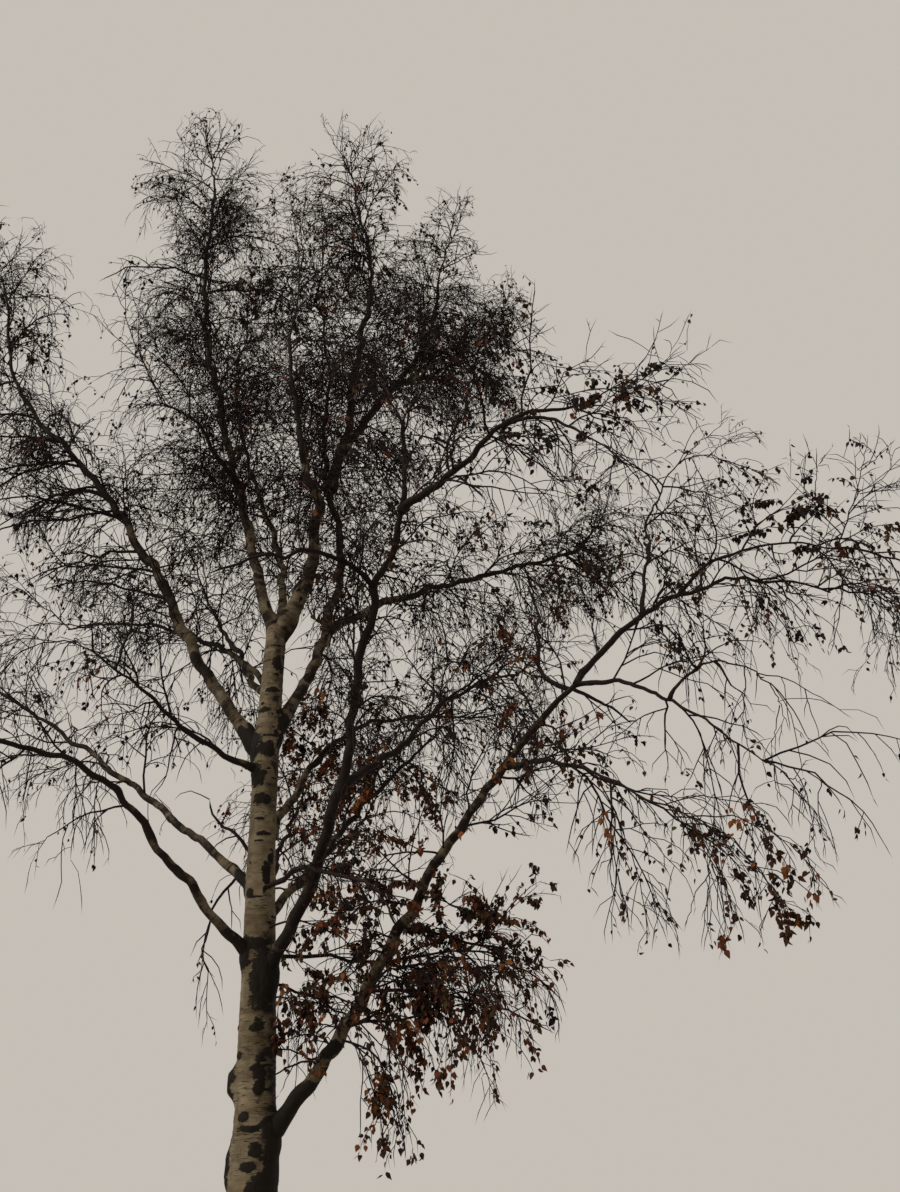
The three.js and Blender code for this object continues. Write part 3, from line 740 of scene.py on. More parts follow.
# Trunk and boughs
trunkBark = {
    "sides": 90,
    "rings": 380,
    "ringCrowding": 1.06,    # rings lie closer together in the fork
    "patternRadius": 0.2,    # the patterns are laid round a bar of this radius
    "topRoundness": 0.02,
    "rootLobes": 5,
    "rootLobeDepth": 0.16,
    "rootFlareHeight": 0.42,
    "crackedBelow": (1.25, 1.5),    # the foot is cracked all round: how much, and up to what height
    "tornFrom": 0.05,
    "corkEdge": (0.45, 6),          # from how dark the bark is cork, and how sharp its edge is
    "corkRidges": (0.016, 0.35, 0.15),    # depth of the cork's relief, its swing and its mean
    # layers of noise: squeeze along the trunk, size, seed and weight
    "torn": ((1.5, 0.075, 3, 0.42), (1.3, 0.024, 4, 0.26)),
    "footEdge": ((1, 0.35, 5, 0.35),),
    "ridge": ((0.45, 0.05, 6, 0.6), (0.6, 0.022, 7, 0.4)),
    "waves": ((0.6, 0.30, 8, 0.007),),    # slow swellings
    "bands": ((7, 0.16, 9, 0.0035),),     # thin cross bands of peeling skin
    "blotches": ((0.4, 0.3, 12, 0.20), (1.6, 0.09, 13, 0.12)),
    "shadedSideTurn": -25,    # the side where the skin is brownest: partly weathering, partly painted shade
    # how strong the right side's weathering and painted shade are
    "shadeAndWeathering": 0.58,
    "lasting": (1.45, 3.6, 0.9, 0.45),    # how far up the brown side with its painted shade reaches: start, height, fall, least
    "palest": 0.98,
    "browning": (0.07, 3.9, 3.5),         # for each metre, above what height and over how many metres
    # small cross scars: how many, their seed, height, turn, half height and half width, and relief
    "scars": (90, 7, ((1.2, 7.8), (0, 360), (0.006, 0.02), (0.02, 0.08)), 0.001),
    # the dark eye under a limb, in radii of the limb: how far below, half height, half width, relief
    "eye": (0.7, 3.0, 1.9, 0.55),
    "eyesBelow": 0.95,
    "patchEdge": (1.6, 1.1),
    # dark patches: height, turn from +X, half height, half width, how far they stand out
    "patches": (
        (3.98, -62, 0.34, 0.16, 0.01), (3.52, -85, 0.035, 0.07, 0.003), (3.28, -150, 0.04, 0.06, 0.004),
        (3.07, -74, 0.19, 0.075, 0.006), (3.04, 178, 0.17, 0.1, 0.08), (2.72, -116, 0.045, 0.07, 0.003),
        (2.43, -78, 0.06, 0.07, 0.004), (2.29, -92, 0.05, 0.09, 0.004), (2.12, -52, 0.17, 0.17, 0.01),
        # the first and the last patch here, low on the right side, are partly dark bark and partly painted
        # shade below the low right bough
        (2.3, -28, 0.5, 0.13, 0.008), (2.3, 176, 0.24, 0.07, 0.04), (2.42, -8, 0.34, 0.11, 0.012),
        (1.72, -120, 0.12, 0.1, 0.008), (6.48, -84, 0.09, 0.11, 0.006), (5.88, -92, 0.065, 0.1, 0.005),
        (7.2, -80, 0.03, 0.09, 0.004), (4.86, -130, 0.05, 0.05, 0.002), (5.25, -40, 0.07, 0.05, 0.003),
        (1.15, 20, 0.26, 0.16, 0.012), (2.9, 95, 0.2, 0.09, 0.008), (3.9, 60, 0.12, 0.08, 0.005),
        (1.95, 110, 0.22, 0.12, 0.01), (5.0, 80, 0.1, 0.06, 0.004), (3.5, 150, 0.1, 0.06, 0.004),
        (7.55, -60, 0.1, 0.05, 0.003), (6.15, -130, 0.1, 0.14, 0.006), (4.35, -100, 0.07, 0.16, 0.004),
        (5.05, -60, 0.16, 0.05, 0.003), (2.62, -100, 0.035, 0.12, 0.003),
        (6.95, -110, 0.03, 0.1, 0.002), (5.5, -75, 0.025, 0.1, 0.002),
    ),
}
boughBark = {
    "ringSpacing": 0.050,
    "fewestRings": 8,
    "sidesPerRadius": 300,  # sides around for a metre of radius
    "fewestSides": 8,
    "mostSides": 18,
    # layers of noise: squeeze along the limb, size, seed and weight
    "wander": ((1, 0.45, 21, 1), (1, 0.16, 22, 0.6)),
    "sharp": ((1, 0.42, 23, 1), (1, 0.18, 24, 0.5)),
    "lumps": ((0.5, 0.09, 31, 0.14),),
    "grain": ((3, 0.03, 32, 0.035),),
    "blots": ((1.4, 0.13, 33, 1.5),),
    "torn": ((1, 0.11, 35, 1), (1, 0.035, 36, 0.5)),
    "mottle": ((1, 0.16, 34, 0.22), (1.6, 0.06, 37, 0.14)),
    "crooked": 0.85,        # sideways wander, in radii
    "kinks": (0.026, 0.4),  # sharper bends, in metres, and their mean
    "kinksByRadius": (0.05, 0.35, 1.3),   # less on limbs thicker than this, down and up to these shares
    "axisOffset": 11.3,     # between the noise of one axis and of the next
    # how thick some are beside the rule's, at the foot and at the far end
    "thinner": {"far_right": (0.80, 0.80), "far_right_top": (0.66, 0.66), "upright_right": (0.75, 0.75),
                "outer_right": (0.80, 0.80), "drooping_right": (0.80, 0.80), "hanging_bough": (0.85, 0.85),
                "low_right": (0.93, 0.93), "long_left": (0.92, 0.92), "front_bough": (0.78, 1.35)},
    "slimmer": (0.42, 1.2), # how much thinner the far end is than the rule's, and how late it thins
    "leastSlant": 0.3,
    "paintedShadeUnder": 0.28,      # painted shade: how much darker the under side is
    "knotsPerMetre": 2.6,
    "knots": 0.34,          # how far a knot stands out, in radii
    "knotSize": (0.5, 1.2, 0.02, 0.75),   # in radii, and in metres besides, and its half turn
    "knotDark": (0.75, 0.5),
    "darkRelief": 0.05,
    "collarFlare": 0.32,    # of the radius, where a limb leaves its parent
    "collarReach": 2.2,     # in radii of the limb
    "blotsFrom": 0.25,
    # how far the dark at the foot goes, in radii, how dark it is there, and how ragged
    "darkFoot": {"low_right": 9.0},
    "usualDarkFoot": (2.6, 1.5, 0.7),
    # how pale each limb is at its foot and over what length
    "pale": {
        "low_right": (0.84, 7.0), "front_bough": (0.50, 2.2), "stem_left": (0.52, 9.0),
        "stem_back": (0.62, 6.5), "stem_centre": (0.62, 4.5), "inner_bough": (0.60, 4.0),
        "long_left": (0.66, 5.0), "low_left": (0.50, 4.0), "second_left": (0.62, 5.0),
        "rear_bough": (0.55, 3.6), "rear_left": (0.6, 2.8), "back_right": (0.6, 2.4),
        "right_bough": (0.62, 3.0), "crossing_left": (0.55, 2.0), "rear_low": (0.6, 2.4),
        "third_left": (0.4, 0.8), "peak_bough": (0.35, 1.2),
    },
    "usualPale": (0.3, 0.5),
    "paleFall": 0.7,
}


def unbentPlaces(turn, radius, along):
    # where each point would be on a straight upright limb, for patterns that go round it
    return np.stack([np.cos(turn) * radius, np.sin(turn) * radius, along], -1)


def closedTriangles(rings, sides):
    # the skin between rings, and a fan over each end round its middle point
    near = np.arange(sides)
    far = (near + 1) % sides
    foot, last = rings * sides, (rings - 1) * sides
    return np.vstack([bandTriangles(rings, sides),
                      np.stack([np.full(sides, foot), far, near], 1),
                      np.stack([np.full(sides, foot + 1), last + near, last + far], 1)])


def turnBetween(turn, where):
    return np.abs((turn - where + np.pi) % (2 * np.pi) - np.pi)


def patchShare(height, turn, radius, row):
    level, where, tall, wide, _ = row
    full, fall = trunkBark["patchEdge"]
    aside = turnBetween(turn, math.radians(where)) * radius
    return np.clip(full - np.hypot((height - level) / tall, aside / wide) * fall, 0, 1)


def darkMarks():
    # the dark patches, a dark eye under each limb, and small cross scars
    rows = list(trunkBark["patches"])
    for limb in boughs:
        if limb["parent"] is not limbs["trunk"] or limb["at"] >= trunkBark["eyesBelow"]:
            continue
        out = placeAt(limb["path"], wayOut(limb) / limb["length"])
        where = math.degrees(math.atan2(out[1], out[0] - trunkAxis(out[2])[0]))
        below, *sizes = (size * limb["foot"] for size in trunkBark["eye"])
        rows.append((out[2] - below, where, *sizes))
    count, seed, spans, relief = trunkBark["scars"]
    draw = np.random.default_rng(seed)
    for _ in range(count):
        rows.append((*[draw.uniform(*span) for span in spans], relief))
    return rows


def addBark(piece, place, dark, pale, finish):
    # what the bark's material reads: each point's place on a straight limb, how dark it is, how pale
    addValues(piece, "unbent", "FLOAT_VECTOR", place)
    addValues(piece, "dark", "FLOAT", dark)
    addValues(piece, "pale", "FLOAT", pale)
    piece.data.materials.append(finish)


def makeTrunk():
    sides, rings, fork = trunkBark["sides"], trunkBark["rings"], rule["forkHeight"]
    top = fork + float(trunkRadius(fork))
    share = np.linspace(0, 1, rings)
    turn = np.tile(turnsRound(sides), rings)
    height = np.repeat(top * (1 - (1 - share) ** trunkBark["ringCrowding"]), sides)
    plain = trunkRadius(np.minimum(height, fork))
    lobes = trunkBark["rootLobeDepth"] * np.exp(-height / trunkBark["rootFlareHeight"])
    lobes = lobes * np.cos(trunkBark["rootLobes"] * turn)
    domed = np.clip((height - fork) / (top - fork), 0, 1)
    dome = np.sqrt(np.maximum(1 - domed ** 2, trunkBark["topRoundness"]))
    place = unbentPlaces(turn, trunkBark["patternRadius"], height)
    dark = np.zeros(len(height))
    proud = np.zeros(len(height))
    for row in darkMarks():
        share = patchShare(height, turn, plain, row)
        dark = np.maximum(dark, share)
        proud = np.maximum(proud, row[4] * share ** 2)
    full, reach = trunkBark["crackedBelow"]
    dark = np.maximum(dark, np.clip(full - height / reach + layered(place, trunkBark["footEdge"]), 0, 1))
    dark = np.clip(dark + layered(place, trunkBark["torn"]) * (dark > trunkBark["tornFrom"]), 0, 1)
    start, sharp = trunkBark["corkEdge"]
    cork = np.clip((dark - start) * sharp, 0, 1)
    depth, swing, mean = trunkBark["corkRidges"]
    relief = layered(place, trunkBark["waves"]) + layered(place, trunkBark["bands"]) * (1 - cork)
    relief += depth * cork * (swing * layered(place, trunkBark["ridge"], ridges) + mean)
    radius = plain * (1 + lobes) * dome + (relief + proud) * dome
    axis = trunkAxis(height)
    points = np.stack([axis[:, 0] + radius * np.cos(turn), radius * np.sin(turn), height], 1)
    ends = np.array([[0, 0, 0], [*trunkAxis(top)[:2], top]])
    piece = addMesh("trunk_bark", np.vstack([points, ends]), closedTriangles(rings, sides))
    # the skin is cleanest on the left and low down, and browner on the right and higher up; the right
    # side's brown is partly weathering and partly painted shade
    shadeAndWeathering = np.clip(np.cos(turn - math.radians(trunkBark["shadedSideTurn"])), 0, 1)
    start, level, fall, least = trunkBark["lasting"]
    lasting = np.clip(start - (height - level) * fall, least, 1)
    brown, level, reach = trunkBark["browning"]
    # painted shade: the right side is made less pale, together with its brown weathering
    pale = trunkBark["palest"] - trunkBark["shadeAndWeathering"] * shadeAndWeathering * lasting
    pale = pale - brown * np.clip(height - level, 0, reach) + layered(place, trunkBark["blotches"])
    addBark(piece, np.vstack([place, ends]), np.append(dark, (1, 1)), np.append(pale, (1, 1)), trunkFinish)
    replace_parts(piece, "trunk")


def wayOut(limb):
    # how far along its own axis a limb comes out of its parent
    cosine = float(directionAt(limb["parent"]["path"], limb["at"]) @ directionAt(limb["path"], 0))
    return limb["parentRadius"] / max(math.sqrt(1 - cosine ** 2), boughBark["leastSlant"])


def bentPath(limb, count):
    # the rule's path with bends and kinks, from its place on the bent parent to its own rule's tip
    path = np.array([placeAt(limb["path"], i / (count - 1)) for i in range(count)])
    share = np.linspace(0, 1, count)
    thick = radiusAt(limb, share) * boughBark["crooked"]
    kinks, mean = boughBark["kinks"]
    slim, least, most = boughBark["kinksByRadius"]
    bend = np.zeros_like(path)
    for axis in range(3):
        place = path + axis * boughBark["axisOffset"]
        bend[:, axis] += thick * layered(place, boughBark["wander"])
        sharp = layered(place, boughBark["sharp"], ridges) - mean
        bend[:, axis] += kinks * np.clip(slim / thick, least, most) * sharp
    bend *= np.sin(np.pi * share)[:, None] ** 0.5
    moved = placeAt(limb["parent"]["bent"], limb["at"]) - placeAt(limb["parent"]["path"], limb["at"])
    return path + bend + moved * (1 - share[:, None]) ** 2


def knotsOf(limb, along, turn):
    # swellings on one side, where twigs stood or stand
    draw = np.random.default_rng(list(limbs).index(limb["name"]))
    least, most, extra, halfTurn = boughBark["knotSize"]
    swell = np.zeros(len(along))
    for _ in range(int(limb["length"] * boughBark["knotsPerMetre"])):
        level, where = draw.uniform(0, limb["length"]), draw.uniform(-np.pi, np.pi)
        reach = radiusAt(limb, level / limb["length"]) * draw.uniform(least, most) + extra
        aside = turnBetween(turn, where)
        swell = np.maximum(swell, np.exp(-((along - level) / reach) ** 2 - (aside / halfTurn) ** 2))
    return swell


def limbThickness(limb, share, leaves):
    # the rule's taper with a collar at the foot, and thinner towards the far end
    away = np.maximum(share * limb["length"] - leaves, 0) / (boughBark["collarReach"] * limb["foot"])
    collar = 1 + boughBark["collarFlare"] * np.exp(-away) * (limb["at"] < 1)
    slimmer, late = boughBark["slimmer"]
    thick = radiusAt(limb, share) * collar * (1 - slimmer * share ** late)
    return thick * within(boughBark["thinner"].get(limb["name"], (1, 1)), share)


def makeBough(limb):
    count = max(boughBark["fewestRings"], int(limb["length"] / boughBark["ringSpacing"]))
    sides = int(np.clip(limb["foot"] * boughBark["sidesPerRadius"], boughBark["fewestSides"],
                        boughBark["mostSides"]))
    path = bentPath(limb, count)
    limb["bent"] = path
    share = np.linspace(0, 1, count)
    leaves = wayOut(limb)
    turn = np.tile(turnsRound(sides), count)
    along = np.repeat(share * limb["length"], sides)
    radius = np.repeat(limbThickness(limb, share, leaves), sides)
    place = unbentPlaces(turn, radius, along) + limb["foot"] * 97    # no two limbs have one pattern
    torn = layered(place, boughBark["torn"])
    dark = np.clip(layered(place, boughBark["blots"]) - boughBark["blotsFrom"], 0, 1)
    reach, full, ragged = boughBark["usualDarkFoot"]
    reach = limb["foot"] * boughBark["darkFoot"].get(limb["name"], reach)
    atFoot = np.clip(full + ragged * torn - (along - leaves) / reach, 0, 1)
    dark = np.maximum(dark, atFoot * (limb["at"] < trunkBark["eyesBelow"]))
    knots = knotsOf(limb, along, turn)
    mean, swing = boughBark["knotDark"]
    dark = np.maximum(dark, knots * (mean + swing * torn))
    radius = radius * (1 + layered(place, boughBark["lumps"]) + layered(place, boughBark["grain"])
                       + dark * boughBark["darkRelief"] + knots * boughBark["knots"])
    spoke = spokes(*(way[0] for way in frames(path[None])), sides)
    points = path[:, None] + spoke * radius.reshape(count, sides, 1)
    ends = np.array([path[0], path[-1] + directionAt(path, 1) * limb["tip"] * 0.5])
    piece = addMesh(limb["name"] + "_bark", np.vstack([points.reshape(-1, 3), ends]),
                    closedTriangles(count, sides))
    first, fade = boughBark["pale"].get(limb["name"], boughBark["usualPale"])
    pale = first * np.clip(1 - along / fade, 0, 1) ** boughBark["paleFall"]
    pale += layered(place, boughBark["mottle"])
    # painted shade: the under side of each limb is made less pale
    pale -= boughBark["paintedShadeUnder"] * np.clip(-spoke.reshape(-1, 3)[:, 2], 0, 1)
    ends = np.array([[0, 0, 0], [0, 0, limb["length"]]])
    addBark(piece, np.vstack([place, ends]), np.append(dark, (1, 0)), np.append(pale, (0, 0)), boughFinish)
    return piece


makeTrunk()
for limb in boughs:
    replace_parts(makeBough(limb), limb["name"])
print("trunk and", len(boughs), "boughs made")


# Twigs. Each level grows off the ones before it, and a shoot that leaves the reach of the tree or
# touches a limb is tried once more at a shorter length and then left out
twigRule = {
    "seed": 11,
    "limbReach": 1.35,    # how far from a limb a shoot may stray outside the spaces
    "woodGap": 0.012,
    "woodStep": 0.035,    # between the points that stand for the limbs
    # left open: before the trunk, and where the sky shows through
    "open": (
        ((-0.36, -4, 0), (0.27, -0.02, 7.0)), ((3.5, 0.5, 15.0), (8, 5, 20)),
        ((3.8, -0.5, 13.2), (8, 0.5, 20)), ((3.6, -2.2, 11.6), (8, -0.5, 20)),
        ((2.9, -3.2, 9.9), (8, -2.2, 20)), ((2.9, -5, 9.3), (8, -3.2, 20)),
        ((2.9, -5, 8.75), (8, -4.05, 20)), ((2.75, 1.4, 15.9), (8, 5, 20)),
        ((-2.6, -2.2, 10.9), (-2.15, -0.9, 12.2)), ((-3.3, -0.9, 11.9), (-2.7, 0.8, 13.6)),
    ),
    "boxMargin": 0.06,
    "second": (0.62, 150),       # share of the length at the second attempt, and how far it is turned
    "turns": (77.0, 25),         # from one parent to the next, and at random
    "shorterOut": 0.40,          # how much shorter shoots are at their parent's tip
    "byParent": (0.9, 0.55, 1.15),    # parents of this length bear full ones, others from and up to these
    "ofParent": 0.8,             # the thickest foot, as a share of the parent there
    "thickness": (0.8, 1.2),
    "thinnest": 0.0022,
    # hanging: how far a space's top is over its limb at least, how much more a shoot hangs for each
    # metre under the top, how much less it starts, and how far the top ones rise
    "hang": (0.7, 1.1, 0.25, -0.15),
    "weep": (0.95, 0.3, 0.75, 1.15),  # how far a mass weeps: mean, change with its droop, least, most
    "leastWeep": 0.3,
    # clumps and gaps: their size and seed, the mean share kept and its swing
    "clumps": (0.60, 51, 0.76, 0.80),
    "fullerAbove": (11.0, 0.06, 0.9, 1.4),    # from this height, for each metre, and least and most
    "leastFull": 0.2,
    # fuller spots: where, their reach and how much fuller
    "fuller": (
        (-0.2, 0.9, 15.6, 1.3, 0.36), (0.6, 0.6, 13.9, 1.0, 0.12), (-1.7, 0, 12.3, 0.9, 0.28),
        (-4.2, 0.5, 13.5, 1.1, 0.4), (-3.8, 0.4, 10.8, 1.4, 0.4), (3.1, -3.4, 8.8, 1.0, 0.35),
        (3.0, 2.4, 14.0, 1.0, 0.2), (4.2, 3.1, 11.3, 1.2, 0.28), (2.5, 1.7, 10.5, 1.0, 0.3),
        (6.0, -1.3, 8.0, 1.4, 0.45), (1.0, 0.5, 7.4, 1.3, 0.25), (2.2, 0.4, 7.2, 1.0, 0.2),
        (2.6, -1.2, 5.7, 1.0, 0.35), (3.9, -2.2, 5.2, 1.1, 0.4), (-2.6, 0, 7.2, 1.5, 0.32),
        (0.3, 2.5, 6.8, 1.2, 0.2), (4.7, -1.8, 6.7, 1.0, 0.25), (-1.9, -0.5, 11.3, 0.7, -0.5),
        (-1.7, 0.3, 12.7, 0.6, 0.35), (3.1, -2.5, 4.8, 0.6, -0.4), (-3.3, 0.6, 10.4, 0.9, 0.45),
        (-3.2, 1.2, 7.4, 0.8, 0.4), (-1.9, -1.8, 6.3, 0.8, 0.4), (3.9, -2.4, 5.0, 0.8, 0.4),
        (1.5, 1.0, 6.2, 0.8, 0.35), (1.9, -0.9, 4.1, 0.5, 0.3), (6.5, -1.0, 7.7, 0.7, 0.3),
        (-0.4, 0.9, 15.0, 1.0, 0.35), (5.3, -2.0, 7.4, 0.6, -0.3), (3.2, -3.5, 8.0, 0.6, -0.3),
        (2.6, 2.3, 13.8, 0.8, 0.25), (5.0, -1.0, 6.6, 0.7, -0.2), (0.6, -0.8, 4.2, 0.6, 0.4),
        (2.9, 2.5, 14.8, 0.8, 0.45), (1.3, 0.6, 13.2, 0.7, -0.25), (3.2, -3.6, 7.6, 0.7, -0.5),
        (4.2, 3.1, 12.4, 0.7, -0.5), (-3.6, 1.5, 7.9, 0.8, 0.5), (0.6, 2.3, 8.6, 0.8, 0.35),
        (-1.0, 2.6, 16.2, 0.7, 0.5), (0.0, -1.2, 13.0, 0.7, 0.4), (0.5, -0.6, 3.8, 0.7, 0.4),
        (1.9, 1.8, 14.4, 0.8, -0.38), (1.8, 1.9, 9.2, 0.9, -0.35), (2.8, -3.5, 8.7, 0.7, 0.1),
        (-0.7, 0.8, 15.4, 0.9, 0.4), (3.2, 2.3, 14.1, 0.7, 0.3), (1.6, -0.8, 3.9, 0.7, 0.5),
        (0.9, 1.2, 15.8, 0.8, 0.35), (-2.1, 0, 11.4, 0.6, -0.35), (1.1, 0.8, 8.6, 0.7, 0.35),
        (-1.8, -1.0, 6.6, 0.8, 0.35), (-4.6, 0.3, 9.6, 0.8, 0.4), (5.0, -2.9, 5.2, 0.6, -0.35),
        (0.3, 0.9, 12.0, 0.7, 0.3), (1.2, -1.1, 6.8, 0.7, 0.45), (3.8, -2.6, 5.8, 0.6, -0.4),
        (4.8, -2.7, 5.0, 0.5, -0.4), (4.1, -3.1, 4.1, 0.6, -0.5), (-3.4, 0.4, 9.9, 0.8, 0.45),
        (-4.1, 0.4, 13.4, 0.7, 0.4), (-0.4, 0.8, 15.1, 0.7, 0.5), (2.1, 2.3, 15.4, 0.6, 0.4),
        (-0.8, 0.0, 5.6, 0.5, -0.7), (-0.8, 1.4, 15.2, 0.7, 0.4), (2.4, 2.2, 15.0, 0.6, 0.3),
    ),
    "leafyFrom": 0.3,      # the leafy mass has only what lies on this side of the trunk
    "limbJoints": 60,
    # the rule's own stems and twigs, and the small branches
    "main": {"joints": 12, "wander": 0.012, "stemTip": 0.004, "thickest": 0.013, "tip": 0.0024, "steps": 8},
    "sides": (5, 4, 3),    # of the main twigs, the side branches and the finer ones
    # shoots per metre, lengths, lean in degrees, joints, foot and tip radius, wander, pull down, the
    # part of the parent that bears them, and the length under which they have half the joints
    "side": {"perMetre": 3.0, "lengths": (0.6, 2.15), "lean": (32, 68), "joints": 9,
             "radii": (0.012, 0.0030), "wander": 0.20, "pull": 0.19, "span": (0, 1)},
    "branchlet": {"perMetre": 3.6, "lengths": (0.35, 1.0), "lean": (30, 66), "joints": 6,
                  "radii": (0.0096, 0.0040), "wander": 0.19, "pull": 0.38, "span": (0.12, 0.95),
                  "fewerBelow": 0.50},
    "shoot": {"perMetre": 7.3, "lengths": (0.24, 0.85), "lean": (26, 64), "joints": 4,
              "radii": (0.0094, 0.0042), "wander": 0.14, "pull": 0.66, "span": (0.1, 1),
              "fewerBelow": 0.37},
    "twiglet": {"perMetre": 3.6, "lengths": (0.09, 0.32), "lean": (24, 62), "joints": 2,
                "radii": (0.0074, 0.0036), "wander": 0.15, "pull": 0.54, "span": (0.15, 1),
                "fewerBelow": 0.17},
}

